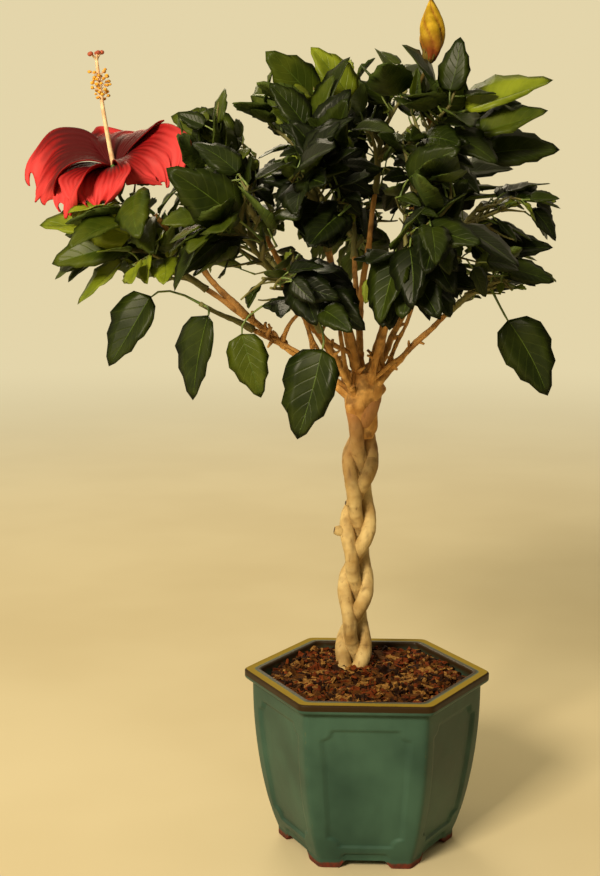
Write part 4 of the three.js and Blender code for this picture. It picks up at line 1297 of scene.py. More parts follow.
@dataclass
class Boughs:
    """The boughs, from the head out to where each enters its mass, and stubs of lost shoots on them."""

    fork: Span = (314.0, 340.0)
    out: float = 4.25
    bend_share: float = 0.45
    tip_radius: float = 1.7
    wander: float = 1.5
    swell: float = 0.45
    swell_run: float = 9.0
    sides: int = 12
    steps: int = 44
    side_radii: Span = (1.6, 1.1)
    side_swing: float = 6.0
    stubs: int = 75
    stub_seats: Span = (0.08, 0.85)
    stub_lengths: Span = (2.0, 11.0)
    stub_radii: Span = (1.0, 1.6)
    stub_tip: float = 0.7

    def paths(self) -> dict[str, Path]:
        """The path of every bough by name, each a quadratic curve from its bearer to its tip in its ball.

        Returns:
            The paths by name.
        """
        found: dict[str, Path] = {}
        for row in CROWN + BLOSSOM:
            middle = np.array(row.middle, float)
            if row.bearer:
                start = found[row.bearer].at(row.at)
            else:
                start = np.array((*HEAD[:2], lerp(*self.fork, row.at)))
                start = start + unit((middle - start) * (1, 1, 0)) * self.out
            end = middle + unit(start - middle) * row.reach * row.entry
            bend = lerp(start, end, self.bend_share) + UP * row.arch + (row.sway, 0, 0)
            found[row.name] = Path(start, bend, end)
        return found

    def bark(self, path: Path, girth: float, tip: float, seed: int) -> Skin:
        """A bough as a tapered tube with a swollen foot, rings at the nodes and rough bark.

        The radius runs evenly from girth to tip, swells at the foot by a falling exponential, and is
        multiplied by one plus fine and coarse noise plus narrow rings.

        Args:
            path: the bough's path.
            girth: radius at its foot.
            tip: radius at its tip.
            seed: picks the noise.

        Returns:
            The tube.
        """
        share = np.linspace(0, 1, self.steps)
        line = path.at(share)
        stray = np.stack([lumps(line, 19.0, seed + k) for k in range(3)], axis=1)
        line = line + self.wander * np.sin(math.pi * share)[:, None] * stray
        far = share * path.length
        radii = lerp(girth, tip, share) * (1 + self.swell * np.exp(-far / self.swell_run))
        plain = rings(line, radii, self.sides)
        ridge = lumps(plain * 0.8, 2.4, seed)
        ring = np.sin(far * 0.36 + seed) ** 10
        rough = 0.08 * ridge + 0.16 * lumps(plain, 6.0, seed + 7) + 0.12 * ring[:, None]
        groove = np.clip(-1.2 * ridge - 0.25, 0, 1)
        return Skin.tube(rings(line, radii[:, None] * (1 + rough), self.sides), 0, groove=groove)

    def cross(self, paths: dict[str, Path]) -> list[Skin]:
        """The thin stems across the fork: curves from bough to bough that swing aside by chance.

        Args:
            paths: the boughs' paths by name.

        Returns:
            One skin for each.
        """
        made = []
        for k, (first, at, last, to) in enumerate(SIDE_STEMS):
            start, end = paths[first].at(at), paths[last].at(to)
            aside = spoke(unit(end - start), 2 * math.pi * chance(k, 5))
            bend = (start + end) / 2 + aside * self.side_swing
            made.append(self.bark(Path(start, bend, end), *self.side_radii, 700 + k))
        return made

    def prune(self, paths: dict[str, Path]) -> list[Skin]:
        """Stubs of lost shoots on the bare lower parts of boughs: tapered pegs that lean ahead and up.

        Args:
            paths: the boughs' paths by name.

        Returns:
            One skin for each.
        """
        made, peg = [], Boughs(steps=8, sides=8)
        for k in range(self.stubs):
            path = paths[CROWN[k % len(CROWN)].name]
            share = lerp(*self.stub_seats, chance(k, 1))
            root, ahead = path.at(share), path.ahead(share)
            aim = unit(spoke(ahead, 2 * math.pi * chance(k, 2)) + 0.5 * ahead + 0.3 * UP)
            tip = root + aim * (2 + lerp(*self.stub_lengths, chance(k, 3)))
            if not Skirt().clears(tip[None])[0]:
                girth = lerp(*self.stub_radii, chance(k, 4))
                made.append(peg.bark(Path(root, tip), girth, self.stub_tip, 800 + k))
        return made

    def build(self, paths: dict[str, Path]) -> None:
        """All the boughs as one piece of bark.

        Args:
            paths: the boughs' paths by name.
        """
        rows = CROWN + BLOSSOM
        skins = [self.bark(paths[row.name], row.girth, self.tip_radius, 50 + k) for k, row in enumerate(rows)]
        skins += self.cross(paths) + self.prune(paths)
        nodes = ["bough_" + row.name for row in rows]
        piece("bark_boughs", Skin.joined(skins), [Part.BOUGH], nodes)


class Space:
    """The space of a mass: a ball, and where it meets another ball, its own side of the plane they share."""

    def __init__(self, row: Row, others: Sequence[Row]) -> None:
        """Works out the planes, each moved inwards by twice the clearance.

        Args:
            row: the mass's own ball.
            others: all the other balls.
        """
        self.middle = np.array(row.middle, float)
        self.reach = row.reach
        far = np.array([other.middle for other in others], float)
        gap = np.linalg.norm(far - self.middle, axis=1)
        share = 0.5 + (row.reach**2 - np.array([other.reach for other in others]) ** 2) / (2 * gap * gap)
        self.inward = (self.middle - far) / gap[:, None]
        shared = self.middle + (far - self.middle) * share[:, None] + self.inward * 2 * CLEARANCE
        self.level = dot(self.inward, shared)

    def owns(self, points: Array) -> Array:
        """Whether each point is on the mass's own side of every plane."""
        return (points @ self.inward.T > self.level).all(axis=1)

    def holds(self, points: Array) -> Array:
        """Whether each point is also inside the ball."""
        return (np.linalg.norm(points - self.middle, axis=1) <= self.reach) & self.owns(points)


@dataclass
class Beads:
    """Points along limbs with the limb's radius at each, for keeping leaves and twigs off them."""

    points: Array
    radii: Array

    SPACING = 4.0

    @classmethod
    def along(cls, path: Path, first: float, last: float) -> "Beads":
        """Beads on one path, evenly spaced, with the radius running from the first to the last."""
        share = np.linspace(0, 1, math.ceil(path.length / cls.SPACING) + 1)
        return cls(path.at(share), lerp(first, last, share))

    @classmethod
    def sight(cls, x: float, z: float, radius: float) -> "Beads":
        """Beads on the eye's line of sight through a gap of the crown.

        Args:
            x: where the line meets the plane of X and Z.
            z: the height there.
            radius: the gap's radius.

        Returns:
            The beads.
        """
        middle = np.array((x, 0.0, z))
        ahead = unit(middle - EYE) * GAP_DEPTH
        return cls.along(Path(middle - ahead, middle + ahead), radius, radius)

    @classmethod
    def joined(cls, beads: Sequence["Beads"]) -> "Beads":
        """Several strings of beads as one."""
        return cls(np.concatenate([b.points for b in beads]), np.concatenate([b.radii for b in beads]))


def line_gaps(points: Array, start: Array, end: Array) -> Array:
    """Distances from points to straight lines.

    Each point is dropped on the line, no further than its ends.

    Args:
        points: places, one row each.
        start: where the lines start, one row each.
        end: where they end.

    Returns:
        One row for each point, one column for each line.
    """
    way = end - start
    offset = points[:, None] - start
    share = np.clip(dot(offset, way) / dot(way, way), 0, 1)
    return np.linalg.norm(offset - share[..., None] * way, axis=-1)


def face_gaps(points: Array, corners: Array) -> Array:
    """Distances from points to flat triangles.

    It is the distance to the plane where a point drops inside the triangle, else to the nearest edge.

    Args:
        points: places, one row each.
        corners: triangle, corner, then x, y and z.

    Returns:
        One row for each point, one column for each triangle.
    """
    normal = unit(np.cross(corners[:, 1] - corners[:, 0], corners[:, 2] - corners[:, 0]))
    gaps, inside = np.inf, True
    for k in range(3):
        start, end = corners[:, k], corners[:, k - 2]
        gaps = np.minimum(gaps, line_gaps(points, start, end))
        inside = inside & (dot(np.cross(end - start, points[:, None] - start), normal) >= 0)
    return np.where(inside, abs(dot(points[:, None] - corners[:, 0], normal)), gaps)


def pierces(starts: Array, ends: Array, corners: Array) -> bool:
    """Whether any straight line goes through any triangle.

    Each line and triangle give one set of three equations, for the share of the line and two shares of the
    triangle's edges, and they cross where all three are in range.

    Args:
        starts: where the lines start, one row each.
        ends: where they end.
        corners: triangle, corner, then x, y and z.

    Returns:
        True where at least one pair crosses.
    """
    way = (ends - starts)[:, None]
    one, other = corners[:, 1] - corners[:, 0], corners[:, 2] - corners[:, 0]
    normal = np.cross(way, other)
    spread = dot(normal, one)
    spread = np.where(abs(spread) < 1e-12, np.inf, spread)
    offset = starts[:, None] - corners[:, 0]
    u = dot(offset, normal) / spread
    turned = np.cross(offset, one)
    v = dot(way, turned) / spread
    share = dot(turned, other) / spread
    return bool(((u >= 0) & (v >= 0) & (u + v <= 1) & (share > 0) & (share < 1) & np.isfinite(spread)).any())


@dataclass
class Leaf:
    """A leaf as its root, the end of its stalk, and its blade's directions.

    Attributes:
        root: where its stalk leaves the stick.
        base: where its blade starts.
        along: where its blade points.
        length: length of its blade.
        curl: fall of the tip, as a share of the length.
        luck: a chance from 0 to 1, which turns its face and varies its green.
        lone: whether it stands clear of the crown.
        green: number of its green.
        edges: its stalk and outline as a chain of corners.
        faces: the four triangles of its blade.
        hub: middle of a ball about it.
        reach: radius of that ball.
    """

    root: Array
    base: Array
    along: Array
    length: float
    curl: float
    luck: float
    lone: bool = False
    green: int = 0
    face: Array = field(init=False)
    across: Array = field(init=False)
    edges: Array = field(init=False)
    faces: Array = field(init=False)
    hub: Array = field(init=False)
    reach: float = field(init=False)

    # How strongly the face turns up, outwards, to the light and by luck.
    PULL = (0.7, 0.5, 0.6, 0.5)
    LONE_PULL = (0.7, 0.2, 1.0, 0.3)
    LIGHT = np.array((-0.3, -0.9, 0.3))
    BREADTH = 0.62
    # Shares of the length, with the share of the breadth at each.
    OUTLINE = ((0.27, 1.0), (0.64, 0.72))

    def __post_init__(self) -> None:
        """Turns the face up, outwards, to the light and by luck, then works out what the leaf takes up."""
        outward = unit((self.base - HEAD) * (1, 1, 0))
        up, out, light, luck = self.LONE_PULL if self.lone else self.PULL
        pull = UP * up + outward * out + self.LIGHT * light
        face = pull + spoke(self.along, self.luck * 2 * math.pi) * luck
        self.face = unit(face - self.along * dot(face, self.along))
        self.across = np.cross(self.face, self.along)
        left, right, tip = self.edge(1), self.edge(-1), self.rib(1.0)
        self.edges = np.array((self.root, self.base, *left, tip, *right[::-1], self.base))
        blade = ((self.base, left[0], right[0]), (left[0], left[1], right[0]))
        self.faces = np.array((*blade, (right[0], left[1], right[1]), (left[1], tip, right[1])))
        self.hub = (self.root + tip) / 2
        self.reach = 0.6 * float(np.linalg.norm(self.root - tip))

    def rib(self, share: float) -> Array:
        """The blade's middle at a share of its length: it curls down with the square of the share."""
        return self.base + self.along * self.length * share - self.face * self.curl * self.length * share**2

    def edge(self, side: int) -> list[Array]:
        """Corners of the outline on one side, 1 for left and -1 for right: off the rib by the half width."""
        half = self.length * self.BREADTH / 2
        return [self.rib(share) + self.across * side * half * width for share, width in self.OUTLINE]


@dataclass
class Mass:
    """One mass of twigs and leaves, grown by the source's rule and carried on to finer shoots.

    Attributes:
        order: its number, which its chances depend on.
        gaps: what its leaves keep free.
        clearings: what the leaves of its shoots keep free.
        sticks: its stem, then its twigs.
        twigs: beads on its sticks and shoots.
    """

    row: Row
    order: int
    bough: Path
    space: Space
    limbs: Beads
    gaps: Beads
    clearings: Beads
    skirt: Skirt = Skirt()
    sticks: list[Path] = field(default_factory=list)
    shoots: list[Path] = field(default_factory=list)
    leaves: list[Leaf] = field(default_factory=list)
    twigs: Beads = field(init=False)

    # Middle of the crown: painted shade on the leaves deepens towards it, and shoots thin out away from it.
    CORE = np.array((-10.0, 10.0, 430.0))
    STEM_REACH = 0.2
    TWIGS = 5
    TWIG_SEATS = (0.13, 0.87)
    TWIG_LENGTH = 40.0
    TWIG_RADII = (1.6, 1.2)
    TWIG_CLEAR = 2.0
    TRIES = 16
    SHRINK = 0.04
    LEAF_LENGTHS = (46.0, 66.0)
    STALKS = (0.24, 0.4)
    CURLS = (0.04, 0.22)
    CLEAR_LIMB = 1.5
    CLEAR_TWIG = 0.5
    LEAF_SEATS = (0.98, 0.2)
    PER_TWIG = 5
    ON_STEM = 2
    LONE_SEATS = np.array((0.35, 0.5, 0.65, 0.8, 0.95))
    SHOOTS = 3
    DENSE_REACH = 85.0
    SHOOT_LENGTHS = (12.0, 26.0)
    SHOOT_LEAVES = (32.0, 56.0)
    SHOOT_SEATS = (0.97, 0.66, 0.36)
    SHOOT_RADII = (0.8, 0.6)
    SHOOT_KEYS = 500_000
    BUD_LEAVES = (9.0, 16.0)
    BUD_SEAT = 0.99
    YOUNG_SHARE = 0.35
    # Weights of a leaf's green: for all, painted light to the left, painted light at the top, more of it at
    # the top if lone, painted shade inside, by spray.
    GREEN_START = 0.8
    LIT_LEFT = 1.2
    LIT_TOP = 0.9
    LIT_TOP_LONE = 0.9
    SHADE_INSIDE = 1.5
    GREEN_SPRAY = 1.8

    def grow(self) -> None:
        """Sticks, then their leaves, then shoots with smaller leaves, which keep the clearings free too."""
        self.grow_sticks()
        thin = self.TWIG_RADII[1]
        self.twigs = Beads.joined([Beads.along(stick, thin, thin) for stick in self.sticks])
        self.grow_leaves()
        self.gaps = self.clearings
        self.grow_shoots()

    def is_free(self, points: Array) -> bool:
        """Whether a twig through these points stays in the space, above the skirt and off the limbs.

        Args:
            points: places along the twig.

        Returns:
            True if all of them are free.
        """
        gaps = np.linalg.norm(points[:, None] - self.limbs.points, axis=-1)
        clear = (gaps > self.limbs.radii + self.TWIG_RADII[0] + self.TWIG_CLEAR).all(axis=1)
        return bool((clear & self.space.holds(points) & self.skirt.clears(points)).all())

    def grow_sticks(self) -> None:
        """The stem that carries on from the bough's tip, then the twigs that leave it at golden turns."""
        ahead = self.bough.ahead(1.0)
        outward = unit(self.space.middle - HEAD)
        start = self.bough.at(1.0) + ahead * CLEARANCE
        end = self.space.middle + outward * self.row.reach * self.STEM_REACH
        stem = Path(start, start + ahead * np.linalg.norm(end - start) * 0.5, end)
        self.sticks = [stem]
        for k in range(self.TWIGS):
            share = lerp(*self.TWIG_SEATS, k / (self.TWIGS - 1))
            root, along = stem.at(share), stem.ahead(share)
            for attempt in range(self.TRIES):
                turn = k * GOLDEN_TURN + attempt * 0.7 + chance(self.order, k, attempt) * 0.8
                aim = unit(spoke(along, turn) + along * 0.7 + outward * 0.3 + UP * 0.25)
                length = self.TWIG_LENGTH * lerp(0.7, 1.1, chance(self.order, k, attempt, 1))
                tip = root + aim * length * (1 - self.SHRINK * attempt)
                if self.is_free(lerp(root, tip, np.linspace(0, 1, 9)[1:, None])):
                    self.sticks.append(Path(root, tip))
                    break

    def lay(
        self, stick: Path, share: float, turn: float, keys: tuple[int, int], lengths: Sequence[float]
    ) -> Leaf:
        """A leaf on a stick: its stalk leaves the stick sideways, and its blade is pulled outwards.

        The stalk leans ahead and outwards. The blade follows it, lifted or dropped by chance, less the
        droop of the mass.

        Args:
            stick: what bears it.
            share: where on the stick.
            turn: angle about the stick.
            keys: what its chances depend on, the second being the attempt, which makes it smaller.
            lengths: shortest and longest blade.

        Returns:
            The leaf.
        """
        draw = [chance(*keys, what) for what in range(6)]
        root, ahead = stick.at(share), stick.ahead(share)
        outward = unit((root - HEAD) * (1, 1, 0))
        stalk = unit(spoke(ahead, turn + lerp(-0.6, 0.6, draw[0])) + ahead * 0.4 + outward * 0.2)
        along = unit(stalk + outward * 0.25 + UP * (lerp(-0.45, 0.35, draw[1]) - self.row.hang))
        length = lerp(*lengths, draw[2]) * (1 - self.SHRINK * keys[1])
        base = root + stalk * length * lerp(*self.STALKS, draw[3])
        return Leaf(root, base, along, length, lerp(*self.CURLS, draw[4]), draw[5])

    def fits(self, leaf: Leaf) -> bool:
        """Whether a leaf is inside the space, off the limbs, twigs and gaps, and off every leaf laid before.

        Only a lone leaf may hang below the skirt, and there it keeps to no space.

        Args:
            leaf: the leaf.

        Returns:
            True if it fits.
        """
        corners = leaf.edges[1:-1]
        above = self.skirt.clears(corners)
        inside = self.space.owns(corners) | ~above if leaf.lone else self.space.holds(corners) & above
        if not inside.all():
            return False
        kept = (
            (self.limbs, self.CLEAR_LIMB, True),
            (self.twigs, self.CLEAR_TWIG, False),
            (self.gaps, 0, False),
        )
        for beads, margin, stalk in kept:
            far = np.linalg.norm(beads.points - leaf.hub, axis=1) - leaf.reach
            near = far <= beads.radii + margin
            if near.any():
                limit = beads.radii[near] + margin
                gaps = face_gaps(beads.points[near], leaf.faces).min(axis=1)
                if stalk:
                    stalk_gaps = line_gaps(beads.points[near], leaf.root[None], leaf.base[None])
                    gaps = np.minimum(gaps, stalk_gaps[:, 0])
                if (gaps < limit).any():
                    return False
        others = [o for o in self.leaves if np.linalg.norm(o.hub - leaf.hub) < o.reach + leaf.reach]
        if not others:
            return True
        faces = np.concatenate([o.faces for o in others])
        starts = np.concatenate([o.edges[:-1] for o in others])
        ends = np.concatenate([o.edges[1:] for o in others])
        return not (pierces(leaf.edges[:-1], leaf.edges[1:], faces) or pierces(starts, ends, leaf.faces))

    def grow_leaves(self) -> None:
        """The lone leaves first, then leaves seat by seat on every stick, each laid where it first fits."""
        seats = np.concatenate([stick.at(self.LONE_SEATS) for stick in self.sticks])
        lone = [leaf for leaf in LONE_LEAVES if leaf[0] == self.row.name]
        for k, (_, base, tip) in enumerate(lone):
            base, way = np.array(base, float), np.subtract(tip, base).astype(float)
            root = seats[np.linalg.norm(seats - base, axis=1).argmin()]
            length = float(np.linalg.norm(way))
            leaf = Leaf(root, base, way / length, length, self.CURLS[0], chance(self.order * 10 + k), True)
            self.keep(leaf, k)
        for j, (s, stick) in itertools.product(range(self.PER_TWIG), enumerate(self.sticks)):
            if s or j < self.ON_STEM:
                key = self.order * 1000 + s * 20 + j
                share = lerp(*self.LEAF_SEATS, j / self.PER_TWIG)
                self.seat(stick, share, (j + 2 * s) * GOLDEN_TURN, key, self.LEAF_LENGTHS, s)

    def seat(
        self, stick: Path, share: float, turn: float, key: int, lengths: Sequence[float], spray: int
    ) -> None:
        """Tries a leaf at a seat, turned on and made smaller each time, until one fits.

        Args:
            stick: what bears it.
            share: where on the stick.
            turn: first angle about the stick.
            key: what its chances depend on.
            lengths: shortest and longest blade.
            spray: number of its spray.
        """
        for attempt in range(self.TRIES):
            if self.keep(self.lay(stick, share, turn + attempt * 0.9, (key, attempt), lengths), spray):
                return

    def keep(self, leaf: Leaf, spray: int) -> bool:
        """Adds a leaf that fits, in the green of its spray, and says whether it was added.

        Args:
            leaf: the leaf.
            spray: number of its spray.

        Returns:
            True if it was added.
        """
        is_free = self.fits(leaf)
        if is_free:
            leaf.green = self.green(leaf, spray)
            self.leaves.append(leaf)
        return is_free

    def green(self, leaf: Leaf, spray: int) -> int:
        """Number of a leaf's green: paler on the left and on top as painted light, darker inside as painted
        shade, and by luck.

        Args:
            leaf: the leaf.
            spray: number of its spray.

        Returns:
            The number among a leaf's finishes.
        """
        if leaf.length < self.BUD_LEAVES[1]:
            return YOUNG
        # Painted light on the left and on top, and painted shade towards the crown's middle.
        left = np.clip((-leaf.base[0] - 10) / 150, 0, 1)
        top = np.clip((leaf.base[2] - 470) / 60, 0, 1)
        deep = np.clip(1.3 - np.linalg.norm((leaf.base - self.CORE) * (1, 0.3, 1)) / 80, 0, 1)
        luck = self.GREEN_SPRAY * (chance(self.order, spray, 77) - 0.5) + (leaf.luck - 0.5)
        score = self.GREEN_START + self.LIT_LEFT * left
        score = score + (self.LIT_TOP + self.LIT_TOP_LONE * leaf.lone) * top - self.SHADE_INSIDE * deep + luck
        return int(np.clip(round(score), 0, YOUNG - 1))

    def grow_shoots(self) -> None:
        """Fine shoots with small leaves on every stick where there is room, and fewer far from the core."""
        for (s, stick), i in itertools.product(list(enumerate(self.sticks)), range(self.SHOOTS)):
            share = (i + 0.8) / (self.SHOOTS + 0.2)
            root, along = stick.at(share), stick.ahead(share)
            if i % 2 and np.linalg.norm(root - self.CORE) > self.DENSE_REACH:
                continue
            outward = unit((root - HEAD) * (1, 1, 0))
            for attempt in range(self.TRIES):
                turn = (i + 3 * s) * GOLDEN_TURN + 1.3 + attempt * 0.8
                aim = unit(spoke(along, turn) + along * 0.6 + outward * 0.3 + UP * 0.2)
                tip = root + aim * lerp(*self.SHOOT_LENGTHS, chance(self.order, s, i, attempt, 7))
                line = lerp(root, tip, np.linspace(0.25, 1, 6)[:, None])
                blades = np.concatenate([leaf.faces for leaf in self.leaves])
                if self.is_free(line) and not pierces(line[:1], tip[None], blades):
                    key = 1000 * self.order + 100 * s + 10 * i + self.SHOOT_KEYS
                    self.leaf_shoot(Path(root, tip), s, key)
                    break

    def leaf_shoot(self, shoot: Path, spray: int, key: int) -> None:
        """Adds a shoot with up to three smaller leaves and, on some, a young one at its tip.

        Args:
            shoot: its path.
            spray: number of its spray.
            key: what its chances depend on.
        """
        self.shoots.append(shoot)
        self.twigs = Beads.joined([self.twigs, Beads.along(shoot, *self.SHOOT_RADII)])
        for j, share in enumerate(self.SHOOT_SEATS):
            self.seat(shoot, share, j * GOLDEN_TURN, key + j, self.SHOOT_LEAVES, spray)
        if chance(key, 9) < self.YOUNG_SHARE:
            self.seat(shoot, self.BUD_SEAT, 3 * GOLDEN_TURN, key + 3, self.BUD_LEAVES, spray)


@dataclass
class Foliage:
    """All the masses of the crown, and how their twigs, stalks and leaves are shaped."""

    masses: list[Mass]
    rows: tuple[float, ...] = (0.06, 0.16, 0.28, 0.4, 0.52, 0.64, 0.76, 0.88)
    breadth: float = 0.62
    tooth: float = 0.03
    notch: float = 0.05
    rib: float = 0.016
    thick: float = 0.5
    folds: Span = (0.06, 0.4)
    twists: Span = (-0.3, 0.3)
    swells: Span = (0.06, 0.16)
    waves: Span = (0.03, 0.12)
    bows: Span = (-0.05, 0.05)
    stalk_taper: tuple[float, ...] = (1.25, 0.95, 0.85, 0.85, 0.6)
    stem_radii: Span = (2.0, 1.5)
    twig_radii: Span = (1.55, 0.9)
    shoot_radii: Span = (0.85, 0.5)
    seed: int = 5

    def blade(self, leaves: Sequence[Leaf]) -> Skin:
        """Leaves as thin closed blades with toothed edges, a midrib and a paler underside.

        The half width is s^0.45 (1 - s) scaled to 1 at its widest, wider at each tooth and narrower at each
        notch. The blade folds up along the rib, swells between rib and edge, waves at its edge, twists evenly
        and curls down with the square of the share.

        Args:
            leaves: the leaves, all with the same number of points.

        Returns:
            The blades as one skin, tinted by their greens, then underside and rib.
        """
        draw = np.random.default_rng(self.seed)
        count, share = len(leaves), np.array(self.rows)
        step = np.arange(len(share))
        width = 2.47 * share**0.45 * (1 - share)
        teeth = np.where(step == 0, 1.0, np.where(step % 2, 1 + self.tooth, 1 - self.notch))
        lean = np.where((step % 2 == 1), 0.035, 0.0)
        across = np.array((-1.0, -0.52, -self.rib, self.rib, 0.52, 1.0))
        at_edge = abs(across) == 1
        half = (width[:, None] * np.where(at_edge, teeth[:, None], 1.0)) * self.breadth / 2
        along = share[:, None] + lean[:, None] * at_edge
        spans = (self.folds, self.twists, self.swells, self.waves, (0, 2 * math.pi))
        fold, twist, swell, wave, phase = (draw.uniform(*span, (count, 1, 1)) for span in spans)
        bow = draw.uniform(*self.bows, (count, 1))
        size = np.array([leaf.length for leaf in leaves])[:, None, None]
        curl = np.array([leaf.curl for leaf in leaves])[:, None, None]
        beside = abs(across) * half
        ripple = wave * np.sin(along * 15 + phase + np.where(across < 0, 1.7, 0)) * across**2
        puff = swell * 4 * abs(across) * (1 - abs(across))
        lift = fold * beside + half * (puff + ripple + twist * across * along) - curl * along**2
        keys = ("base", "along", "across", "face")
        axes = (np.array([getattr(leaf, key) for leaf in leaves]) for key in keys)
        base, ahead, aside, face = (axis[:, None, None] for axis in axes)
        sideways = across * half + bow[..., None] * np.sin(math.pi * along) * (1 - 0.5 * abs(across))
        spread = np.broadcast_to(along, lift.shape)
        upper = base + (size * spread)[..., None] * ahead + (size * sideways)[..., None] * aside
        upper = upper + (size * lift)[..., None] * face
        under = upper[:, :, 2:4].mean(axis=2) - self.thick * face[:, 0]
        tip = base[:, 0] + size[:, 0, :, None] * ahead[:, 0] - (size * curl)[:, 0, :, None] * face[:, 0]
        points = np.concatenate((base[:, 0], upper.reshape(count, -1, 3), under, tip), axis=1)
        faces, kinds = self.template(len(share))
        total = points.shape[1]
        numbered = np.where(faces < 0, -1, faces + total * np.arange(count)[:, None, None])
        greens = np.array([leaf.green for leaf in leaves])[:, None]
        tints = np.where(kinds == 0, greens, kinds)
        column = np.concatenate(([0.0], np.tile(across, len(share)), np.zeros(len(share)), [0.0]))
        run = np.concatenate(([0.0], along.ravel(), share, [1.0]))
        marks = {"along": np.tile(run, count), "across": np.tile(column, count)}
        return Skin(points.reshape(-1, 3), numbered.reshape(-1, 4), tints.ravel(), marks)

    def template(self, rows: int) -> tuple[Array, Array]:
        """Corner numbers of one blade's faces, and each one's finish: 0 above, or the underside's or rib's.

        A blade's points are its base, its rows from edge to edge, a line under the rib and its tip.

        Args:
            rows: rows of points.

        Returns:
            Four corners for each face, then one finish for each.
        """
        strips = np.array((0, 0, RIB, 0, 0))
        columns = len(strips) + 1
        top = 1 + np.arange(rows * columns).reshape(rows, columns)
        low, tip = 1 + rows * columns + np.arange(rows), 1 + rows * (columns + 1)
        none, root, end = (np.full(len(strips), number) for number in (-1, 0, tip))
        upper = np.stack((top[1:, :-1], top[1:, 1:], top[:-1, 1:], top[:-1, :-1]), axis=-1)
        first = np.stack((root, top[0, :-1], top[0, 1:], none), axis=-1)
        last = np.stack((end, top[-1, 1:], top[-1, :-1], none), axis=-1)
        left = np.stack((low[:-1], low[1:], top[1:, 0], top[:-1, 0]), axis=-1)
        right = np.stack((top[:-1, -1], top[1:, -1], low[1:], low[:-1]), axis=-1)
        ends = [(0, low[0], top[0, 0], -1), (0, top[0, -1], low[0], -1)]
        ends += [(tip, top[-1, 0], low[-1], -1), (tip, low[-1], top[-1, -1], -1)]
        faces = np.concatenate((upper.reshape(-1, 4), first, last, left, right, ends))
        under = len(left) + len(right) + len(ends)
        return faces, np.concatenate((np.tile(strips, rows + 1), np.full(under, UNDER)))

    def stalks(self, leaves: Sequence[Leaf]) -> Skin:
        """Leaf stalks: thin tubes that leave the twig, sag a little and run into the blade.

        Args:
            leaves: the leaves.

        Returns:
            The stalks as one skin.
        """
        skins = []
        for leaf in leaves:
            run = float(np.linalg.norm(leaf.base - leaf.root))
            bend = leaf.base - leaf.along * run * 0.35 - leaf.face * run * 0.08
            end = leaf.base + leaf.along * 1.5 - leaf.face * 0.4
            line = Path(leaf.root, bend, end).place(np.linspace(0, 1, len(self.stalk_taper)))
            thick = 0.45 + 0.008 * leaf.length
            skins.append(Skin.rod(line, thick * np.array(self.stalk_taper), 5))
        return Skin.joined(skins)

    def twigs(self, mass: Mass) -> list[Skin]:
        """The twigs of a mass: its stem, its twigs and its shoots, ever thinner.

        Args:
            mass: the mass.

        Returns:
            One skin for each.
        """
        stem, *twigs = mass.sticks
        fine = Boughs(steps=14, sides=7)
        made = [fine.bark(stem, *self.stem_radii, 200 + mass.order)]
        made += [fine.bark(twig, *self.twig_radii, 300 + k) for k, twig in enumerate(twigs)]
        thin = Boughs(steps=7, sides=5)
        return made + [thin.bark(shoot, *self.shoot_radii, 400 + k) for k, shoot in enumerate(mass.shoots)]

    def build(self) -> None:
        """Leaves mass by mass, then all the twigs, then all the leaf stalks."""
        for mass in self.masses:
            node = "leaves_" + mass.row.name
            piece("blades_" + mass.row.name, self.blade(mass.leaves), LEAF_FINISHES, [node])
        nodes = ["leaves_" + mass.row.name for mass in self.masses]
        twigs = [skin for mass in self.masses for skin in self.twigs(mass)]
        piece("crown_twigs", Skin.joined(twigs), [Part.TWIG], nodes)
        leaves = [leaf for mass in self.masses for leaf in mass.leaves]
        piece("leaf_stalks", self.stalks(leaves), [Part.STALK], nodes)


def ball(middle: Array, radii: Array, rows: int = 5, sides: int = 8) -> Array:
    """Rings of an ellipsoid about a middle, by its three radii, from its lower pole to its upper."""
    rise = np.radians(np.linspace(-80, 80, rows))[:, None]
    return middle + polar(np.cos(rise), around(sides), np.sin(rise)) * radii


@dataclass(frozen=True)
class PetalRow:
    """How one petal of the bloom lies.

    Attributes:
        turn: its direction about the axis, in degrees.
        start: where it points at its root, in degrees off the axis.
        end: where it points at its tip, in degrees off the axis.
        length: its length.
        droop: fall of its tip.
        roll: degrees it rolls about its midline by the tip.
        throat_shade_power: power of the share that its colours go by, over 1 where the dark throat reaches
            further: the dark eye, stretched as painted shade where a petal's inner face lies in shade.
    """

    turn: float
    start: float
    end: float
    length: float
    droop: float
    roll: float
    throat_shade_power: float


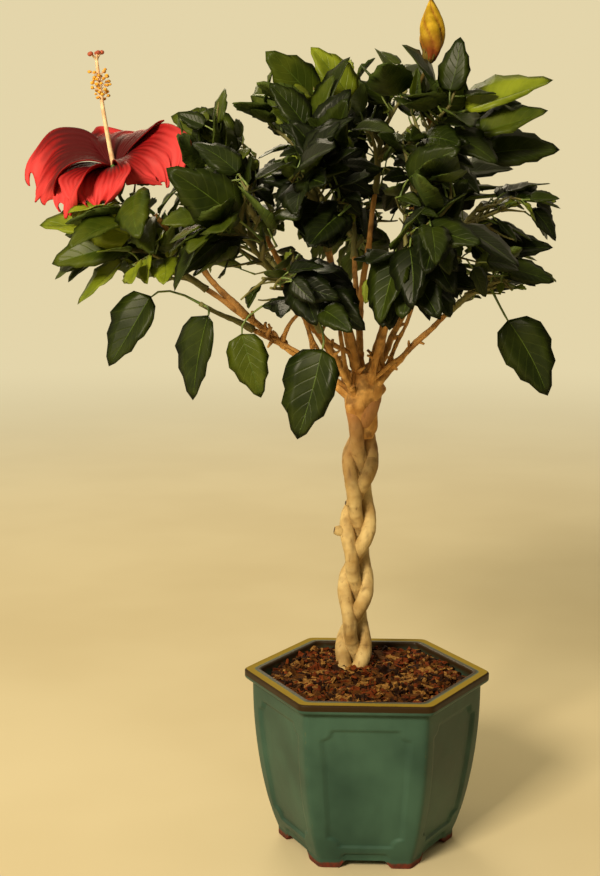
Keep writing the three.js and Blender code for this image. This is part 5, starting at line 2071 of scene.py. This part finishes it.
@dataclass
class Bloom:
    """The open red flower on its stalk."""

    foot: Point = (-171.0, -12.0, 466.0)
    way: Point = (-0.14, -0.06, 1.0)
    width: float = 56.0
    cup: float = 0.2
    rise: float = 15.0
    thick: float = 0.5
    column: float = 88.0
    column_radius: float = 1.8
    anthers: int = 46
    stigmas: int = 5
    bracts: int = 7
    fork: float = 4.3
    cup_radius: float = 6.0
    cup_height: float = 17.0
    stalk_radius: float = 1.3
    petals: tuple[PetalRow, ...] = (
        PetalRow(72, 40, 150, 72, 6, 66, 2.2),
        PetalRow(112, 58, 172, 48, 6, 10, 1.0),
        PetalRow(158, 66, 172, 40, 4, 0, 1.0),
        PetalRow(246, 32, 168, 47, 6, -56, 1.0),
        PetalRow(335, 16, 110, 52, 2, 0, 1.8),
    )
    seed: int = 3

    FINISHES = (Part.PETAL, Part.COLUMN, Part.ANTHER, Part.STIGMA, Part.SEPAL, Part.PETAL_BACK)
    INNER, COLUMN, ANTHER, STIGMA, SEPAL, OUTER = range(6)

    def __post_init__(self) -> None:
        """Works out the axis and the foot as vectors."""
        self.axis = unit(np.array(self.way))
        self.base = np.array(self.foot)

    def up(self, height: Any) -> Array:
        """Places on the axis at heights above the foot."""
        return self.base + np.asarray(height, float)[..., None] * self.axis

    def petal(self, order: int, row: PetalRow) -> Skin:
        """One petal as a thin plate.

        It turns away from the axis at an even rate and droops with the square of the share; its half width is
        a sine; its edges lift; and it is pleated ever more towards a ragged tip by sines across it.

        Args:
            order: number of the petal, which shifts its pleats.
            row: how it lies.

        Returns:
            The plate, marked along and across.
        """
        share = np.linspace(0, 1, 44)[:, None]
        across = np.linspace(-1, 1, 49)
        out = spoke(self.axis, math.radians(row.turn))
        side = np.cross(out, self.axis)
        first, tilt = math.radians(row.start), math.radians(row.roll) * share
        swing = math.radians(row.end) - first
        ragged = 1 + 0.05 * np.sin(across * 7.3 + order) + 0.03 * np.sin(across * 17.0 + 2 * order)
        ragged = ragged - 0.06 * across**2
        run = share * lerp(1, ragged, smooth(0.5, 1.0, share))
        angle = first + swing * run
        half = self.width / 2 * np.sin(0.1 + 0.86 * math.pi * np.clip(run, 0, 1.02) ** 1.4)
        half = half * (1 + 0.04 * np.sin(share * 21 + order) * smooth(0.3, 0.8, share))
        deep = smooth(0.35, 1.0, share)
        pleat = np.sin(across * 9.5 + 1.3 * order) + 0.5 * np.sin(across * 21.0 + order)
        pleat = pleat + 0.6 * across * np.sin(share * 14)
        lift = half * across * (self.cup * across + np.sin(tilt)) + 1.7 * deep * pleat
        lift = lift - 0.35 * np.cos(across * 30) * share
        spread = row.length * (math.cos(first) - np.cos(angle)) / swing
        height = row.length * (np.sin(angle) - math.sin(first)) / swing - row.droop * run**2

        def surface(offset: float) -> Array:
            """The petal's surface moved off its middle along its own turn.

            Args:
                offset: how far it is moved.

            Returns:
                Row, column, then x, y and z.
            """
            away = (spread - (lift + offset) * np.cos(angle))[..., None] * out
            above = (self.rise + height + (lift + offset) * np.sin(angle))[..., None] * self.axis
            return self.base + away + above + (half * across * np.cos(tilt))[..., None] * side

        # The power stretches the dark throat, partly as painted shade.
        along, beside = (np.broadcast_to(mark, lift.shape) for mark in (share**row.throat_shade_power, across))
        tints = (self.INNER, self.OUTER)
        return Skin.plate(surface(self.thick), surface(-self.thick), tints, along=along, across=beside)

    def stamens(self) -> list[Skin]:
        """The column with its anthers on short threads, and the forked stigmas at its end.

        Returns:
            One skin for each.
        """
        line = self.up(np.linspace(self.cup_height / 2, self.column, 24))
        bow = 1.2 * np.sin(np.linspace(0, math.pi, 24))[:, None] * spoke(self.axis, 2.0)
        made = [Skin.rod(line + bow, np.linspace(self.column_radius, 1.1, 24), 10, self.COLUMN)]
        draw = np.random.default_rng(self.seed)
        for k in range(self.anthers):
            root = self.up(self.column * lerp(0.7, 0.9, k / self.anthers))
            aim = unit(spoke(self.axis, k * GOLDEN_TURN) + self.axis * draw.uniform(0.1, 0.7))
            tip = root + aim * draw.uniform(3.5, 8.0)
            made.append(Skin.rod(lerp(root, tip, np.linspace(0, 1, 3)[:, None]), 0.22, 4, self.COLUMN))
            radii = np.array((1.25, 1.25, 0.95)) * draw.uniform(0.85, 1.2)
            made.append(Skin.tube(ball(tip, radii), self.ANTHER))
        for turn in around(self.stigmas):
            tip = self.up(self.column + self.fork) + spoke(self.axis, turn) * self.fork
            arm = Path(self.up(self.column - 3), self.up(self.column + 1.5), tip).place(np.linspace(0, 1, 6))
            made.append(Skin.rod(arm, 0.6, 6, self.COLUMN))
            made.append(Skin.tube(ball(tip, np.array((1.7, 1.7, 1.5)), 6, 9), self.STIGMA))
        return made

    def calyx(self) -> list[Skin]:
        """The green cup with five pointed teeth, and the narrow bracts round its foot.

        Returns:
            One skin for each.
        """
        share = np.linspace(0, 1, 12)[:, None]
        turn = around(40)
        teeth = abs(np.sin(2.5 * turn)) ** 0.8
        height = -2 + share * (self.cup_height - 4 + 8 * teeth * share**2)
        radii = lerp(self.stalk_radius + 0.6, self.cup_radius + 0.6, np.sin(share * math.pi / 2))
        radii = radii + 0.25 * np.cos(10 * turn)
        out = spoke(self.axis, turn)

        def wall(inset: float) -> Array:
            """The cup's wall moved inwards."""
            return self.up(height) + (radii - inset)[..., None] * out

        made = [Skin.tube(np.concatenate((wall(0), wall(0.7)[::-1])), self.SEPAL)]
        for side in around(self.bracts):
            aim = unit(spoke(self.axis, side) + self.axis * 0.9)
            root = self.up(0.5) + aim * 1.0
            line = Path(root, root + aim * 6, root + aim * 9 + self.axis * 4).place(np.linspace(0, 1, 6))
            made.append(Skin.rod(line, (0.7, 0.8, 0.75, 0.6, 0.4, 0.15), 6, self.SEPAL))
        return made

    def build(self, stalk: Path) -> None:
        """Petals, column, cup and stalk as one piece of blossom.

        Args:
            stalk: its stalk's path.
        """
        petals = [self.petal(k, row) for k, row in enumerate(self.petals)]
        stem = Skin.rod(stalk.at(np.linspace(0, 1, 20)), self.stalk_radius, 9, self.SEPAL)
        rest = [skin.unmarked("along", "across") for skin in (*self.stamens(), *self.calyx(), stem)]
        piece("red_blossom", Skin.joined([*petals, *rest]), self.FINISHES, ["red_bloom"])


@dataclass
class Bud:
    """The furled yellow bud on its stalk."""

    foot: Point = (39.0, -4.0, 553.0)
    tip: Point = (41.0, -4.0, 598.0)
    radius: float = 8.0
    tip_radius: float = 1.5
    waist: float = 0.86
    cup_radius: float = 4.6
    cup_height: float = 9.0
    stalk_radius: float = 1.3
    sides: int = 40

    def build(self, stalk: Path) -> None:
        """A spindle of rolled petals, twisted to a narrow tip, in a small cup on its stalk.

        Its radius is a sine along it under a narrow tip, cut in by five spiral grooves and by smooth noise.

        Args:
            stalk: its stalk's path.
        """
        share = np.linspace(0, 1, 60)
        line = lerp(np.array(self.foot), np.array(self.tip), share[:, None])
        line[:, 0] += 1.2 * np.sin(share * 5.0)
        belly = np.sin(math.pi * (0.1 + 0.88 * np.clip(share / self.waist, 0, 1)) ** 1.05)
        radii = self.tip_radius * (1.2 - 0.8 * share) + 0.92 * self.radius * belly
        furl = abs(np.sin(2.5 * around(self.sides) + 6.5 * share[:, None]))
        groove = np.clip(1 - 2.2 * furl, 0, 1)
        radii = radii[:, None] * (0.76 + 0.26 * furl**0.5)
        plain = rings(line, radii, self.sides)
        shape = rings(line, radii * (1 + 0.16 * lumps(plain, 9.0, 31)), self.sides)
        spindle = Skin.tube(shape, 0, groove=groove, along=np.broadcast_to(share[:, None], groove.shape))
        way = tuple(np.subtract(self.tip, self.foot))
        cup = Bloom(foot=self.foot, way=way, cup_radius=self.cup_radius, cup_height=self.cup_height)
        stem = Skin.rod(stalk.at(np.linspace(0, 1, 16)), self.stalk_radius, 9)
        rest = [skin.unmarked("groove", "along") for skin in (*cup.calyx(), stem)]
        for skin in rest:
            skin.tints[:] = 1
        skin = Skin.joined([spindle, *rest])
        piece("yellow_flower_bud", skin, [Part.BUD, Part.BRACT], ["yellow_bud"])


@dataclass(frozen=True)
class Lamp:
    """A soft light, with its place and size in metres."""

    name: str
    place: Point
    watts: float
    size: float
    colour: Point


@dataclass
class Studio:
    """The pale floor, the soft lights and the camera at the photograph's place, in metres and degrees."""

    camera_place: Point = (0.0, -1.033, 0.469)
    camera_turn: Point = (90 - 9.55, 0.0, 2.66)
    lens: float = 61.24
    target: Point = (0.0, 0.0, 0.36)
    floor_reach: float = 60.0
    lamps: tuple[Lamp, ...] = (
        Lamp("key", (-0.85, -1.6, 1.35), 58.0, 0.5, (1.0, 0.86, 0.6)),
        Lamp("back", (-0.5, 1.7, 1.5), 14.0, 0.8, (1.0, 0.88, 0.64)),
    )

    def build(self) -> None:
        """Floor, background, lights and camera."""
        far = self.floor_reach
        mesh = bpy.data.meshes.new("floor")
        mesh.from_pydata([(-far, -far, 0), (far, -far, 0), (far, far, 0), (-far, far, 0)], [], [(0, 1, 2, 3)])
        mesh.materials.append(Part.PAPER.value.material())
        floor = add_object("floor", mesh)
        sky = Graph(bpy.data.worlds.new("studio"))
        light = sky.daylight(sky.node("TexCoord", {}, "Generated"), Part.PAPER.value.light)
        sheet = sky.node("Background", {"Color": light, "Strength": 1.0})
        bpy.context.scene.world = sky.finish(sheet, "OutputWorld")
        bpy.context.scene.view_settings.view_transform = "Standard"
        for lamp in self.lamps:
            self.hang(lamp)
        camera = bpy.data.cameras.new("camera")
        camera.lens = self.lens
        stand = add_object("camera", camera)
        stand.location = self.camera_place
        stand.rotation_euler = [math.radians(angle) for angle in self.camera_turn]
        bpy.context.scene.camera = stand

    def hang(self, lamp: Lamp) -> None:
        """Hangs a square area light that faces the middle of the tree.

        Args:
            lamp: the light.
        """
        data = bpy.data.lights.new(lamp.name, "AREA")
        data.energy, data.size, data.color = lamp.watts, lamp.size, lamp.colour
        stand = add_object(lamp.name, data)
        stand.location = lamp.place
        way = Vector(self.target) - Vector(lamp.place)
        stand.rotation_euler = way.to_track_quat("-Z", "Y").to_euler()


def stalk_path(bough: Path, foot: Array, axis: Array) -> Path:
    """The path of a blossom's stalk: a cubic curve that leaves the bough straight on and meets the axis.

    Args:
        bough: what bears it.
        foot: where the blossom starts.
        axis: the blossom's direction.

    Returns:
        The path.
    """
    ahead = bough.ahead(1.0)
    start = bough.at(1.0) + ahead * CLEARANCE
    half = float(np.linalg.norm(foot - start)) / 2
    return Path(start, start + ahead * half, foot - axis * half, foot)


def main() -> None:
    """Builds the sub-assemblies in order."""
    logging.basicConfig(level=logging.INFO, format="%(message)s")
    Pot().build()
    Soil().build()
    Trunk().build()
    boughs = Boughs()
    paths = boughs.paths()
    boughs.build(paths)
    bloom, bud = Bloom(), Bud()
    core = Path(np.array(bud.foot), np.array(bud.tip))
    stalks = (
        stalk_path(paths["bloom"], bloom.base, bloom.axis),
        stalk_path(paths["bud"], core.at(0.05), core.ahead(0.0)),
    )
    limbs = CROWN + BLOSSOM
    beads = [Beads.along(paths[row.name], row.girth, boughs.tip_radius) for row in limbs]
    beads.append(Beads.along(core, bud.radius, bud.radius))
    beads += [Beads.along(stalk, bloom.stalk_radius, bloom.stalk_radius) for stalk in stalks]
    wood = Beads.joined(beads)
    gaps, clearings = (Beads.joined([Beads.sight(*gap) for gap in rows]) for rows in (GAPS, GAPS + CLEARINGS))
    masses = []
    for order, row in enumerate(CROWN):
        space = Space(row, [other for other in limbs if other is not row])
        mass = Mass(row, order, paths[row.name], space, wood, gaps, clearings)
        mass.grow()
        masses.append(mass)
        log.info("%s: %d leaves, %d shoots", row.name, len(mass.leaves), len(mass.shoots))
    Foliage(masses).build()
    bloom.build(stalks[0])
    bud.build(stalks[1])
    Studio().build()


if __name__ == "__main__":
    main()
